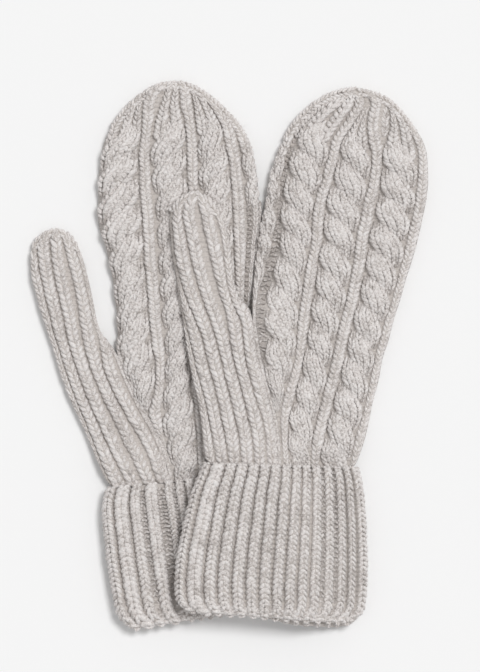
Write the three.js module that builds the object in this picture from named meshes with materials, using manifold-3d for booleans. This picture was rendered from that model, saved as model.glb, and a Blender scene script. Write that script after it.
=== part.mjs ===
// A pair of cable-knit wool mittens laid flat, one partly over the other.
// Every mitten is a knitted tube: a hand with cables, a thumb with its ribbed gusset,
// and a ribbed cuff turned up once. All sizes are in mm; X right, Y to the fingertips, Z up.

import * as THREE from 'three';
import { mergeVertices } from 'three/addons/utils/BufferGeometryUtils.js';
import Module from 'manifold-3d';

// Driving sizes
const PAIR_LENGTH = 261.0;
const HAND_THICKNESS = 6.4;
const HAND_WALL = 2.5;
const HAND_CROWN = 0.4;
const GRIP_THICKNESS = 4.7;
const GRIP_WALL = 1.9;
const EDGE_RADIUS = 4.6;
const CUFF_THICKNESS = 10.8;
const CUFF_WALL = 2.3;
const CUFF_SLOT = 0.4;
const CUFF_EDGE_RADIUS = 5.2;
const CABLE_RISE = 2.1;
const RIB_RISE = 1.2;
const CUFF_RIB_RISE = 1.0;
const HALF_SEAM = 0.16;
const GROOVE_DEPTH = 1.3;
const UNDER_CUFF_LIFT = CUFF_WALL + CUFF_SLOT;
const LAY_OVER_HAND = 9.3;
const LAY_OVER_CUFF = 12.2;

// The outlines are read as photo points: x right, y down. One photo point is MM wide.
const PHOTO = { top: 81.3, bottom: 630.8, middleX: 229.25, middleY: 355.19 };
const MM = PAIR_LENGTH / (PHOTO.bottom - PHOTO.top);
const CABLE_PITCH = 27.0;
const MIN_STEP = 0.36;

// Lines that run along each piece, from the left edge to the right edge.
const OVER_HAND = {
  columns: ['y', 'left', 'cable0End', 'cable1', 'knit1', 'cable2', 'knit2', 'cable3', 'knit3', 'right'],
  rows: [
    [88.5, 352, 353, 354, 355.5, 357, 358.5, 360, 361, 362],
    [91, 338, 341, 345, 351, 357, 361, 366, 369, 372],
    [97, 324, 331, 341, 355, 364, 369, 378, 382, 386],
    [103, 314, 320, 330, 355, 365, 370, 385, 391, 395],
    [112, 303.5, 309, 316, 350, 361, 368, 390, 399, 403],
    [126, 291.5, 298, 303, 341, 352, 366, 390, 408, 413.5],
    [140, 283.5, 293, 297, 331, 343, 368, 386, 414, 423],
    [156, 276.5, 286.5, 291, 327.5, 339, 371, 383, 418, 427.5],
    [180, 269, 281, 286, 321, 333, 369, 381, 417, 428.5],
    [200, 266.5, 279, 282.5, 314.5, 327, 363, 378, 415, 426.5],
    [220, 262, 275.5, 281, 311.5, 324.5, 359.5, 374, 411, 422.5],
    [240, 259, 272.5, 281, 311, 323, 355, 369, 406, 418],
    [260, 256.5, 267.5, 277, 306.5, 318.5, 353, 367, 402, 412.5],
    [280, 254.5, 262, 272, 303, 316.5, 349, 363, 396.5, 406],
    [300, 252.8, 256.5, 266, 300.5, 313, 345.5, 359, 391.5, 400.5],
    [320, 252.5, 254, 264.5, 297.5, 310, 340, 353.5, 384.5, 394],
    [340, 255, 256.5, 268, 296, 307.5, 335, 349, 379, 389],
    [360, 258, 259, 264, 294, 303.5, 331, 344.5, 374, 382.5],
    [380, 263.5, 264.5, 266.5, 288, 299, 326, 340, 369.5, 379],
    [400, 268.5, 269.5, 271, 281.5, 294, 321, 334, 366, 373.5],
    [420, 273.5, 274.3, 275.2, 279.5, 289, 316, 329, 360, 369.5],
    [440, 276.5, 277.2, 278, 281, 288, 311.5, 324.5, 354, 364.5],
    [460, 277.5, 278.2, 279, 282, 289, 310, 320, 350.5, 357],
    [468, 278, 278.7, 279.5, 282.5, 289.5, 310, 320, 347, 352.8],
    [484, 279, 279.7, 280.5, 283.5, 290, 310, 320, 346, 352.4],
  ],
};
const UNDER_HAND = {
  columns: ['y', 'left', 'knit1', 'cable2', 'knit2', 'cable3', 'knit3', 'cable4', 'right'],
  rows: [
    [81.3, 170, 171, 173, 177, 179.5, 181, 182, 183],
    [84, 157, 160, 168, 178.5, 184, 188, 189.5, 191],
    [90, 146, 149, 165, 179, 190, 197, 200, 203],
    [98, 134.5, 143.5, 162, 179, 192, 204.5, 209, 213.5],
    [106, 125.5, 141.5, 159.5, 179.5, 193, 210, 217, 222.5],
    [118, 115.5, 141.5, 155, 183.5, 194.5, 217.5, 228, 234.5],
    [130, 109, 141, 152, 185, 196, 222, 235, 243.5],
    [145, 103, 138.7, 151, 186, 198, 224.5, 239, 250.5],
    [160, 100.5, 138, 150.5, 186, 198.5, 228, 241.5, 254],
    [180, 98, 138.2, 152, 186.5, 199, 230, 244.5, 257.5],
    [200, 98, 139.5, 155.3, 188, 201, 231.5, 246, 258.5],
    [214, 97.5, 141.2, 156.2, 189, 202, 232, 247, 259],
    [228, 99, 142, 157.2, 190, 203, 232.5, 247.5, 258],
    [240, 103.5, 142.5, 158, 191, 204, 233, 247, 256.5],
    [260, 108.5, 143.3, 158.7, 192, 205, 234, 246, 254.5],
    [280, 112.5, 145.5, 159.5, 193, 206, 235, 245, 252.5],
    [300, 115, 147, 161, 194, 207, 235, 244.5, 250.8],
    [320, 117, 148.5, 163, 194, 207, 235, 244, 250.5],
    [338, 117, 150.5, 165, 192, 205, 233, 243, 250.5],
    [350, 116.3, 152, 165.5, 191, 204, 232, 242, 250.5],
    [365, 121.5, 155, 165.5, 190, 203, 231, 241, 250.5],
    [385, 129.3, 154.5, 164.8, 190, 203, 230, 240, 249.5],
    [400, 136.5, 151.5, 163.3, 193, 205, 230, 239, 248.5],
    [412, 143, 147.5, 163, 194, 206, 230, 239, 247.5],
    [424, 149.5, 151.5, 163, 195, 207, 230.5, 238.5, 246.5],
    [436, 156.5, 158.5, 164, 196, 208, 231, 238, 245.5],
    [450, 162, 164, 168, 196.5, 208.5, 231, 238, 244.5],
    [465, 166.5, 168.5, 172, 197, 209, 231.5, 238, 243.5],
    [480, 170, 172, 175, 199, 211, 233, 239, 243.5],
    [500, 174, 176, 179, 202, 214, 236, 241.5, 245],
  ],
};
const OVER_THUMB = {
  columns: ['y', 'left', 'rib1', 'rib2', 'rib3', 'rib4', 'rib5', 'right'],
  rows: [
    [193, 190, 190.8, 191.6, 193, 195, 196.5, 198],
    [196, 184, 185.2, 186.4, 190, 197, 201.5, 204],
    [202, 177, 178, 179, 185, 198, 207, 210.5],
    [210, 171.5, 172.5, 173.5, 182, 199.5, 212.5, 217.5],
    [222, 170, 171, 172, 183, 201.5, 217.5, 224],
    [235, 171, 172, 173, 186, 204.5, 221, 228],
    [250, 172, 173, 174.3, 188.8, 208, 223, 230.5],
    [265, 174.5, 175.5, 177, 192, 211.5, 224.5, 232],
    [280, 177, 178, 180.5, 196, 215.5, 226.5, 233.5],
    [293, 178.5, 179.6, 184.5, 200, 219.5, 229.5, 237.5],
    [303, 180, 181.2, 188, 203.5, 223, 232.5, 243],
    [310, 181.5, 183, 191.5, 206, 225, 236, 249.5],
    [322, 183.5, 186, 196, 210.5, 227, 241, 252.6],
    [340, 186, 190, 202.5, 216, 229.5, 243, 255],
    [360, 189, 194.5, 207, 221, 233.5, 245.5, 258],
    [380, 193, 199.5, 212.5, 225.5, 238.5, 250.5, 263.5],
    [400, 198, 205, 217.3, 230.5, 243.8, 255.8, 268.5],
    [420, 201, 209, 221.3, 235.3, 248, 262, 273.5],
    [440, 203, 212.5, 225.6, 239, 252.3, 264.7, 276.5],
    [458, 205.3, 214.5, 227.6, 240, 253.5, 265.5, 277.5],
    [466, 209, 216.5, 228.3, 240.7, 254, 266, 278],
    [484, 209.4, 217.5, 229, 241.5, 254.5, 267, 279],
  ],
};
const UNDER_THUMB = {
  columns: ['y', 'left', 'rib1', 'rib2', 'rib3', 'rib4', 'right'],
  rows: [
    [229.5, 53, 54, 55.5, 58, 60, 61.5],
    [232, 44.7, 47, 52, 59.5, 64, 66],
    [238, 36.5, 40, 49.5, 62, 68.5, 72],
    [246, 31.5, 36.5, 49.5, 64, 73, 77.5],
    [260, 30, 37.5, 51, 67.3, 79, 83],
    [275, 30.7, 40, 53.3, 71, 83, 87],
    [290, 34.5, 43.5, 56.5, 74.5, 86, 90.5],
    [305, 38.5, 46.5, 60, 77, 89.5, 93.5],
    [320, 43, 50.5, 63.3, 79, 92.5, 96.5],
    [335, 48, 54, 66, 81.5, 97, 102.5],
    [346, 52, 58, 68.8, 83.5, 99.3, 111],
    [360, 56, 62, 73.3, 87.3, 101, 119],
    [380, 62, 68.5, 80, 94.5, 107.5, 127],
    [400, 70, 76, 87.5, 103.5, 117.3, 136.5],
    [420, 79.5, 84.5, 96.5, 113, 128.3, 147.3],
    [440, 89, 93, 105.5, 122.5, 140.5, 158.2],
    [460, 98.5, 102, 116.5, 133.5, 150, 165],
    [474, 106, 109, 123.5, 139.5, 154, 168.6],
    [482, 112.6, 115, 128, 144, 157, 170.4],
    [500, 113.6, 118, 132, 149, 162, 174],
  ],
};

// Cuff rows run from the cast-on edge (along 0) to the fold at the wrist opening (along 1).
const OVER_CUFF = {
  columns: ['along', 'leftX', 'leftY', 'rightX', 'rightY'],
  rows: [
    [0.0, 203, 463, 358.5, 469],
    [0.06, 199, 474, 361.5, 478],
    [0.2, 191, 493, 364.5, 502],
    [0.4, 184, 522, 366.5, 532],
    [0.6, 178, 550, 367.5, 560],
    [0.8, 175, 580, 367, 588],
    [0.92, 176, 598, 365.5, 608],
    [1.0, 184, 609, 355, 624],
  ],
};
const UNDER_CUFF = {
  columns: ['along', 'leftX', 'leftY', 'rightX', 'rightY'],
  rows: [
    [0.0, 107, 488.5, 270, 472],
    [0.06, 103, 499, 277, 482],
    [0.2, 102, 513, 284, 494],
    [0.4, 104, 535, 290, 518],
    [0.6, 107, 562, 295, 545],
    [0.8, 111.5, 590, 299, 572],
    [0.92, 115.5, 612, 301, 590],
    [1.0, 128, 630, 293, 604],
  ],
};
// Purl gutters across each cuff's front, as shares of its width.
const OVER_GUTTERS = [0, 0.055, 0.146, 0.216, 0.29, 0.363, 0.431, 0.501, 0.566, 0.631, 0.693, 0.762,
  0.832, 0.893, 0.945, 1];
const UNDER_GUTTERS = [0, 0.062, 0.149, 0.227, 0.335, 0.41, 0.472, 0.534, 0.594, 0.653, 0.712, 0.77,
  0.828, 0.886, 0.944, 1];

// Where the over mitten leaves the one beneath and where it reaches the floor.
const LAY_DOWN = {
  columns: ['y', 'leave', 'floor'],
  rows: [
    [180, 238, 260],
    [280, 238, 262],
    [302, 245, 276],
    [325, 252, 298],
    [345, 254, 304],
    [440, 251, 312],
    [456, 259, 320],
    [470, 265, 326],
    [494, 276, 334],
    [518, 284, 340],
    [545, 290, 346],
    [590, 297, 352],
    [640, 297, 352],
  ],
};

function smooth(t) {
  const u = Math.min(1, Math.max(0, t));
  return u * u * (3 - 2 * u);
}

function mix(a, b, t) {
  return a + (b - a) * t;
}

// Reads every column of a table at one value of its first column, with smooth joins.
function rowAt(table, key) {
  const rows = table.rows;
  const last = rows.length - 1;
  const k = Math.min(rows[last][0], Math.max(rows[0][0], key));
  let i = 0;
  while (i < last - 1 && rows[i + 1][0] < k) {
    i += 1;
  }
  const span = rows[i + 1][0] - rows[i][0];
  const t = (k - rows[i][0]) / span;
  const out = [];
  for (let c = 1; c < rows[i].length; c += 1) {
    const m0 = slopeAt(rows, i, c) * span;
    const m1 = slopeAt(rows, i + 1, c) * span;
    const a = rows[i][c];
    const b = rows[i + 1][c];
    const t2 = t * t;
    const t3 = t2 * t;
    out.push(
      (2 * t3 - 3 * t2 + 1) * a + (t3 - 2 * t2 + t) * m0 + (3 * t2 - 2 * t3) * b + (t3 - t2) * m1,
    );
  }
  return out;
}

// Harmonic-mean slope, so a line never overshoots the points it was read from.
function slopeAt(rows, i, c) {
  const last = rows.length - 1;
  const before = i > 0 ? (rows[i][c] - rows[i - 1][c]) / (rows[i][0] - rows[i - 1][0]) : null;
  const after = i < last ? (rows[i + 1][c] - rows[i][c]) / (rows[i + 1][0] - rows[i][0]) : null;
  if (before === null) {
    return after;
  }
  if (after === null) {
    return before;
  }
  return before * after <= 0 ? 0 : (2 * before * after) / (before + after);
}

// Height of a mitten's underside over the floor, before its own cuff lifts it.
function layHeight(mitten, x, y) {
  if (mitten === 'under') {
    return 0;
  }
  const [leave, floor] = rowAt(LAY_DOWN, y);
  const level = mix(LAY_OVER_HAND, LAY_OVER_CUFF, smooth((y - 425) / 45));
  return level * (1 - smooth((x - leave) / (floor - leave)));
}

function toPoint(mitten, x, y, height) {
  const z = layHeight(mitten, x, y) + height;
  return new THREE.Vector3((x - PHOTO.middleX) * MM, (PHOTO.middleY - y) * MM, z);
}

// Raised shape of one strip of fabric at share p of its width.
function stripRelief(strip, p, y, width) {
  if (strip.kind === 'cable') {
    const phase = (y - strip.notch) / CABLE_PITCH + strip.lean * p;
    const u = phase - Math.floor(phase);
    const lobe = Math.sqrt(Math.max(0, 1 - (2 * u - 1) ** 2));
    const side = Math.sqrt(Math.max(0, 1 - (2 * p - 1) ** 4));
    return CABLE_RISE * side * (0.15 + 0.85 * lobe) * smooth(width / 20);
  }
  if (strip.kind === 'rib') {
    return RIB_RISE * Math.sin(Math.PI * p) * smooth(width / 8);
  }
  return 0;
}

// Closes rings of equal length into one body, each end by a fan to its middle.
function ringsToGeometry(rings) {
  const n = rings[0].length;
  const positions = [];
  for (const ring of rings) {
    for (const q of ring) {
      positions.push(q.x, q.y, q.z);
    }
  }
  const index = [];
  for (let r = 0; r < rings.length - 1; r += 1) {
    for (let i = 0; i < n; i += 1) {
      const j = (i + 1) % n;
      const a = r * n + i;
      const b = r * n + j;
      index.push(a, a + n, b, b, a + n, b + n);
    }
  }
  const ends = [[0, 0], [rings.length - 1, 1]];
  for (const [r, flip] of ends) {
    const mid = new THREE.Vector3();
    rings[r].forEach((q) => mid.add(q));
    mid.multiplyScalar(1 / n);
    const m = positions.length / 3;
    positions.push(mid.x, mid.y, mid.z);
    for (let i = 0; i < n; i += 1) {
      const a = r * n + i;
      const b = r * n + ((i + 1) % n);
      index.push(...(flip ? [m, b, a] : [m, a, b]));
    }
  }
  const geometry = new THREE.BufferGeometry();
  geometry.setAttribute('position', new THREE.Float32BufferAttribute(positions, 3));
  geometry.setIndex(index);
  return geometry;
}

// Rows of the rings: close together round the tip, then even down to the cuff.
function ringRows(tip, end, tipRows, evenRows, roundLength) {
  const rows = [];
  for (let i = 0; i < tipRows; i += 1) {
    const a = ((i + 0.5) / tipRows) * (Math.PI / 2);
    rows.push(tip + roundLength * (1 - Math.cos(a)));
  }
  for (let i = 0; i <= evenRows; i += 1) {
    rows.push(mix(tip + roundLength, end, i / evenRows));
  }
  return rows;
}

// Thickness of a hand or thumb at a row: rounded at the tip, thinner where the cuff grips it.
function thicknessAt(body, y) {
  const q = Math.min(1, Math.max(0.02, (y - body.tip) / body.round));
  const tipShare = Math.sqrt(1 - (1 - q) ** 2);
  const grip = smooth((y - body.grip) / 22);
  return mix(HAND_THICKNESS, GRIP_THICKNESS, grip) * tipShare;
}

// One outer ring: over the front from left to right, then back along the underside.
function outerRing(body, y) {
  const lines = rowAt(body.table, y);
  const gap = y > body.crotch - 20 ? HALF_SEAM / MM : 0;
  const left = lines[0] + (body.joined === 'left' ? gap : 0);
  const right = lines[lines.length - 1] - (body.joined === 'right' ? gap : 0);
  const full = thicknessAt(body, y);
  const grip = smooth((y - body.grip) / 22);
  const joined = smooth((y - body.crotch) / 14);
  const leftJoin = body.joined === 'left' ? joined : 0;
  const rightJoin = body.joined === 'right' ? joined : 0;
  const radius = EDGE_RADIUS / MM;
  const samples = [];
  for (let i = 0; i < body.strips.length; i += 1) {
    const strip = body.strips[i];
    const a = lines[i];
    const b = lines[i + 1];
    for (let k = 0; k <= strip.inner; k += 1) {
      const p = k / (strip.inner + 1);
      samples.push({ x: mix(a, b, p), relief: k === 0 ? 0 : stripRelief(strip, p, y, b - a) });
    }
  }
  samples.push({ x: right, relief: 0 });
  samples[0].x = left;
  for (let i = 1; i < samples.length - 1; i += 1) {
    samples[i].x = Math.max(samples[i].x, samples[i - 1].x + MIN_STEP);
  }
  for (let i = samples.length - 2; i > 0; i -= 1) {
    samples[i].x = Math.min(samples[i].x, samples[i + 1].x - MIN_STEP);
  }
  const half = full / 2;
  const centre = mix(HAND_THICKNESS, CUFF_THICKNESS - 2 * UNDER_CUFF_LIFT, grip) / 2;
  const ring = [];
  for (const s of samples) {
    const ql = Math.min(1, (s.x - left) / Math.min(radius, (right - left) * 0.45));
    const qr = Math.min(1, (right - s.x) / Math.min(radius, (right - left) * 0.45));
    const roundL = mix(Math.sqrt(1 - (1 - ql) ** 2), 1 - (GROOVE_DEPTH / half) * (1 - ql) ** 2, leftJoin);
    const roundR = mix(Math.sqrt(1 - (1 - qr) ** 2), 1 - (GROOVE_DEPTH / half) * (1 - qr) ** 2, rightJoin);
    const round = Math.min(roundL, roundR);
    const share = (s.x - left) / (right - left);
    const crown = HAND_CROWN * 4 * share * (1 - share) * (1 - grip);
    const tipShare = full / (2 * centre);
    const relief = s.relief * Math.min(roundL, roundR) * tipShare * (1 - grip);
    ring.push({ x: s.x, h: centre + half * round + relief + crown * tipShare });
  }
  const leftIn = mix(radius * 0.5, 0.15, leftJoin);
  const rightIn = mix(radius * 0.5, 0.15, rightJoin);
  const narrow = Math.min(1, (right - left) / (4 * radius));
  const from = right - rightIn * narrow;
  const to = left + leftIn * narrow;
  for (let i = 0; i < body.underside; i += 1) {
    ring.push({ x: mix(from, to, i / (body.underside - 1)), h: centre - half });
  }
  return ring.map((q) => bodyPoint(body, q.x, y, q.h));
}

function bodyPoint(body, x, y, height) {
  const [lx, rx] = body.endSpan;
  const tilt = body.endSlope * smooth((y - body.end + 70) / 70);
  const row = y + tilt * (x - (lx + rx) / 2);
  const lift = UNDER_CUFF_LIFT * smooth((y - body.grip + 24) / 36);
  return toPoint(body.mitten, x, row, lift + height);
}

// The hollow inside a hand or thumb, left open past the cuff end.
function hollowSolid(body) {
  const inset = HAND_WALL / MM;
  const rings = [];
  const first = body.tip + inset + 1;
  for (let i = 0; i <= body.hollowRows; i += 1) {
    const y = mix(first, body.end + 4, i / body.hollowRows);
    const lines = rowAt(body.table, y);
    const left = lines[0] + inset * 1.3;
    const right = lines[lines.length - 1] - inset * 1.3;
    const grip = smooth((y - body.grip) / 22);
    const full = mix(HAND_THICKNESS, GRIP_THICKNESS, grip);
    const wall = mix(HAND_WALL, GRIP_WALL, grip);
    const open = smooth((y - first + 4) / 10);
    const top = mix(full / 2 + 0.15, full - wall, open);
    const low = mix(full / 2 - 0.15, wall, open);
    const ring = [];
    const steps = body.hollowAcross;
    for (let k = 0; k <= steps; k += 1) {
      ring.push(bodyPoint(body, mix(left, right, k / steps), y, top));
    }
    for (let k = 0; k <= steps; k += 1) {
      ring.push(bodyPoint(body, mix(right, left, k / steps), y, low));
    }
    rings.push(ring);
  }
  return ringsToGeometry(rings);
}

// The way through from the hand into the gusset, below the crotch of the thumb.
function passageSolid(body) {
  const reach = 9.5;
  const rings = [];
  for (let i = 0; i <= 8; i += 1) {
    const y = mix(body.crotch + 14, body.end + 4, i / 8);
    const lines = rowAt(body.table, y);
    const seam = body.joined === 'left' ? lines[0] : lines[lines.length - 1];
    const grip = smooth((y - body.grip) / 22);
    const full = mix(HAND_THICKNESS, GRIP_THICKNESS, grip);
    const wall = mix(HAND_WALL, GRIP_WALL, grip) + 0.02;
    rings.push([
      bodyPoint(body, seam - reach, y, full - wall),
      bodyPoint(body, seam + reach, y, full - wall),
      bodyPoint(body, seam + reach, y, wall),
      bodyPoint(body, seam - reach, y, wall),
    ]);
  }
  return ringsToGeometry(rings);
}

function toManifold(wasm, geometry) {
  const bare = geometry.clone();
  bare.deleteAttribute('normal');
  bare.deleteAttribute('uv');
  const merged = mergeVertices(bare, 1e-5);
  const mesh = new wasm.Mesh({
    numProp: 3,
    vertProperties: new Float32Array(merged.attributes.position.array),
    triVerts: new Uint32Array(merged.index.array),
  });
  return new wasm.Manifold(mesh);
}

function fromManifold(solid) {
  const mesh = solid.getMesh();
  const geometry = new THREE.BufferGeometry();
  geometry.setAttribute('position', new THREE.BufferAttribute(new Float32Array(mesh.vertProperties), 3));
  geometry.setIndex(new THREE.BufferAttribute(new Uint32Array(mesh.triVerts), 1));
  return geometry;
}

// A hand or thumb: the knitted outside less its hollow and its way through.
function bodyGeometry(wasm, body) {
  const rings = body.rows.map((y) => outerRing(body, y));
  const outside = toManifold(wasm, ringsToGeometry(rings));
  const hollow = toManifold(wasm, hollowSolid(body));
  const passage = toManifold(wasm, passageSolid(body));
  return fromManifold(outside.subtract(hollow).subtract(passage));
}

// One point of a cuff: share along it, place across, and depth in from its outer face.
function cuffPoint(cuff, along, across, side, depth, relief) {
  const [lx, ly, rx, ry] = rowAt(cuff.table, along);
  const inset = depth / MM;
  const left = lx + inset;
  const right = rx - inset;
  const x = mix(left, right, across);
  const share = (x - lx) / (rx - lx);
  const peek = side < 0 ? cuff.peek(x) * smooth((along - 0.75) / 0.25) : 0;
  const y = mix(ly, ry, share) + peek;
  const radius = Math.max(0.5, CUFF_EDGE_RADIUS - depth) / MM;
  const q = Math.min(1, Math.min(x - left, right - x) / radius);
  const round = Math.sqrt(Math.max(0, 1 - (1 - q) ** 2));
  const half = CUFF_THICKNESS / 2 - depth;
  const height = CUFF_THICKNESS / 2 + side * half * round + relief * round;
  return toPoint(cuff.mitten, x, y, height);
}

// A turned-up cuff: one wall folded at the wrist opening, swept round the flattened tube.
function cuffGeometry(cuff) {
  const inner = 2 * CUFF_WALL + CUFF_SLOT;
  const turn = CUFF_WALL + CUFF_SLOT / 2;
  const profile = [
    [0.0, 0.8, 0.0],
    [0.018, 0, 0.5],
    [0.1, 0, 1],
    [0.3, 0, 1],
    [0.6, 0, 1],
    [0.92, 0, 1],
    [0.985, 0.6, 0.6],
    [1.0, turn, 0],
    [0.985, inner - 0.6, 0],
    [0.92, inner, 0],
    [0.6, inner, 0],
    [0.3, inner, 0],
    [cuff.innerStart, inner, 0],
    [cuff.innerStart, CUFF_WALL + CUFF_SLOT, 0],
    [0.3, CUFF_WALL + CUFF_SLOT, 0],
    [0.6, CUFF_WALL + CUFF_SLOT, 0],
    [0.95, turn + 0.15, 0],
    [0.95, turn - 0.15, 0],
    [0.6, CUFF_WALL, 0],
    [0.3, CUFF_WALL, 0],
    [0.1, CUFF_WALL, 0],
    [0.018, CUFF_WALL, 0],
  ];
  const front = [];
  for (let g = 0; g < cuff.gutters.length - 1; g += 1) {
    const a = cuff.gutters[g];
    const b = cuff.gutters[g + 1];
    front.push([a, 0], [mix(a, b, 0.3), 1], [mix(a, b, 0.7), 1]);
  }
  front.push([1, 0]);
  const back = [];
  for (let i = 0; i < cuff.underside; i += 1) {
    back.push(mix(0.985, 0.015, i / (cuff.underside - 1)));
  }
  const rings = profile.map(([along, depth, share]) => {
    const ring = front.map(([across, high]) => cuffPoint(
      cuff, along, across, 1, depth, high * share * CUFF_RIB_RISE,
    ));
    for (const across of back) {
      ring.push(cuffPoint(cuff, along, across, -1, depth, 0));
    }
    return ring;
  });
  const n = rings[0].length;
  const positions = [];
  rings.forEach((ring) => ring.forEach((q) => positions.push(q.x, q.y, q.z)));
  const index = [];
  for (let r = 0; r < rings.length; r += 1) {
    const s = (r + 1) % rings.length;
    for (let i = 0; i < n; i += 1) {
      const j = (i + 1) % n;
      index.push(r * n + i, s * n + i, r * n + j, r * n + j, s * n + i, s * n + j);
    }
  }
  const geometry = new THREE.BufferGeometry();
  geometry.setAttribute('position', new THREE.Float32BufferAttribute(positions, 3));
  geometry.setIndex(index);
  return geometry;
}

// Strips across each piece, in the order of its table's lines.
function cable(notch, lean, inner = 4) {
  return { kind: 'cable', notch, lean, inner };
}

function knit(inner = 1) {
  return { kind: 'rib', inner };
}

function purl() {
  return { kind: 'purl', inner: 0 };
}

const UNDER_BODY = { mitten: 'under', grip: 458, end: 492.6, endSlope: -0.097, endSpan: [112, 262] };
const OVER_BODY = { mitten: 'over', grip: 442, end: 477.4, endSlope: 0.026, endSpan: [205, 355] };

const BODIES = [
  {
    ...UNDER_BODY,
    name: 'under_hand',
    table: UNDER_HAND,
    strips: [cable(223.7, 0.7), knit(), cable(168.5, 0.6), knit(), cable(164.5, 0.6), knit(),
      cable(150, 0.6, 1)],
    tip: 81.1,
    round: 9,
    joined: 'left',
    crotch: 346,
    underside: 6,
    hollowRows: 14,
    hollowAcross: 3,
    rows: ringRows(81.1, 492.6, 5, 52, 9),
  },
  {
    ...UNDER_BODY,
    name: 'under_thumb',
    table: UNDER_THUMB,
    strips: [knit(), knit(2), knit(2), knit(2), knit(2)],
    tip: 229.2,
    round: 9,
    joined: 'right',
    crotch: 346,
    underside: 5,
    hollowRows: 10,
    hollowAcross: 2,
    rows: ringRows(229.2, 492.6, 5, 22, 9),
  },
  {
    ...OVER_BODY,
    name: 'over_hand',
    table: OVER_HAND,
    strips: [cable(157, -1, 1), purl(), cable(144, -1), knit(), cable(155, -1), knit(),
      cable(163.5, -1), knit()],
    tip: 88.3,
    round: 9,
    joined: 'left',
    crotch: 308,
    underside: 8,
    hollowRows: 14,
    hollowAcross: 4,
    rows: ringRows(88.3, 477.4, 5, 50, 9),
  },
  {
    ...OVER_BODY,
    name: 'over_thumb',
    table: OVER_THUMB,
    strips: [knit(), knit(2), knit(2), knit(2), knit(2), knit(2)],
    tip: 192.7,
    round: 9,
    joined: 'right',
    crotch: 308,
    underside: 5,
    hollowRows: 10,
    hollowAcross: 2,
    rows: ringRows(192.7, 477.4, 5, 24, 9),
  },
];

const CUFFS = [
  {
    name: 'under_cuff',
    mitten: 'under',
    table: UNDER_CUFF,
    gutters: UNDER_GUTTERS,
    innerStart: 0.088,
    underside: 7,
    peek: () => 0,
  },
  {
    name: 'over_cuff',
    mitten: 'over',
    table: OVER_CUFF,
    gutters: OVER_GUTTERS,
    innerStart: 0.088,
    underside: 12,
    peek: (x) => 5.5 * smooth((x - 255) / 40) * (1 - smooth((x - 335) / 22)),
  },
];

// Spun wool, a light greige heather; the under mitten's yarn is the same.
function woolMaterial() {
  return new THREE.MeshStandardMaterial({ color: 0xc4bfb9, roughness: 0.95, metalness: 0 });
}

function namedMesh(name, geometry) {
  geometry.computeVertexNormals();
  const mesh = new THREE.Mesh(geometry, woolMaterial());
  mesh.name = name;
  mesh.material.name = 'wool_knit';
  return mesh;
}

const wasm = await Module();
wasm.setup();

const pair = new THREE.Group();
pair.name = 'mitten_pair';
for (const body of BODIES) {
  pair.add(namedMesh(body.name, bodyGeometry(wasm, body)));
}
for (const cuff of CUFFS) {
  pair.add(namedMesh(cuff.name, cuffGeometry(cuff)));
}

export default pair;
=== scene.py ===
"""A pair of cable-knit wool mittens laid flat, one partly over the other.

Each mitten is a knitted tube in three pieces: a hand with cables, a thumb with its ribbed
gusset, and a ribbed cuff turned up once. Every piece is a cloth shell with its stitches laid
on it one by one, as short legs of wool yarn.
"""

import logging
import math
from dataclasses import dataclass, field
from enum import Enum
from functools import cached_property

import bpy
import numpy as np
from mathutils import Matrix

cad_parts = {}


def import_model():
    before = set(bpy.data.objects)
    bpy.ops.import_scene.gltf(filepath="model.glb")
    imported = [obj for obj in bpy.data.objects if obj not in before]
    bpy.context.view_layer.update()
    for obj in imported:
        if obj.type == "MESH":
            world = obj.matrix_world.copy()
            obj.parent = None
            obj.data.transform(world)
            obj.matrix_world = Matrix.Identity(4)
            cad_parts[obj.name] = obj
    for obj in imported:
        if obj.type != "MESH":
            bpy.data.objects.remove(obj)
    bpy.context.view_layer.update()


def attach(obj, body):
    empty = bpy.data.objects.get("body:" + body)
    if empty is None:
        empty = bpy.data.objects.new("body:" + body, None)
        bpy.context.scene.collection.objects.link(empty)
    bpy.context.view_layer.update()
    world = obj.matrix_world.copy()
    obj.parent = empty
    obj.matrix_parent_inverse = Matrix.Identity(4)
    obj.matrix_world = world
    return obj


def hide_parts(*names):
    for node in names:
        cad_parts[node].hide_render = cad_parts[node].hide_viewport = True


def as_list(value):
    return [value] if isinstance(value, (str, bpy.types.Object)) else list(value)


LOG = logging.getLogger("mittens")
MILLI = 0.001
SEED = 7
UP = (0.0, 0.0, 1.0)


class Mitten(Enum):
    """Which mitten of the pair a piece belongs to."""

    UNDER = "under"
    OVER = "over"


class Side(Enum):
    """The face of a flattened tube that a stitch lies on."""

    FRONT = 1
    BACK = -1


class Kind(Enum):
    """What a strip of the fabric is knitted as."""

    CABLE = "cable"
    KNIT = "knit"
    PURL = "purl"


class Edge(Enum):
    """One of the two long edges of a flattened tube, by the sign of the way out of it."""

    LEFT = -1
    RIGHT = 1


class Grade(Enum):
    """How round a set of yarn legs is made: those that show best have the most sides."""

    FINE = {"Steps": 4, "Sides": 6, "Seed": SEED}
    PLAIN = {"Steps": 3, "Sides": 4, "Seed": SEED + 1}
    LOOSE = {"Steps": 3, "Sides": 3, "Bow": 0.0, "Seed": SEED + 2}


# Shared helpers


def smooth(t: np.ndarray | float) -> np.ndarray:
    """Eases from 0 to 1 as t goes from 0 to 1, and holds what is outside at the ends."""
    u = np.clip(t, 0.0, 1.0)
    return u * u * (3 - 2 * u)


def mix(a: np.ndarray | float, b: np.ndarray | float, t: np.ndarray | float) -> np.ndarray:
    """Blends a into b by the share t."""
    return a + (b - a) * t


def unit(v: np.ndarray) -> np.ndarray:
    """Scales each row vector to length 1."""
    return v / np.maximum(np.linalg.norm(v, axis=-1, keepdims=True), 1e-9)


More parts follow.
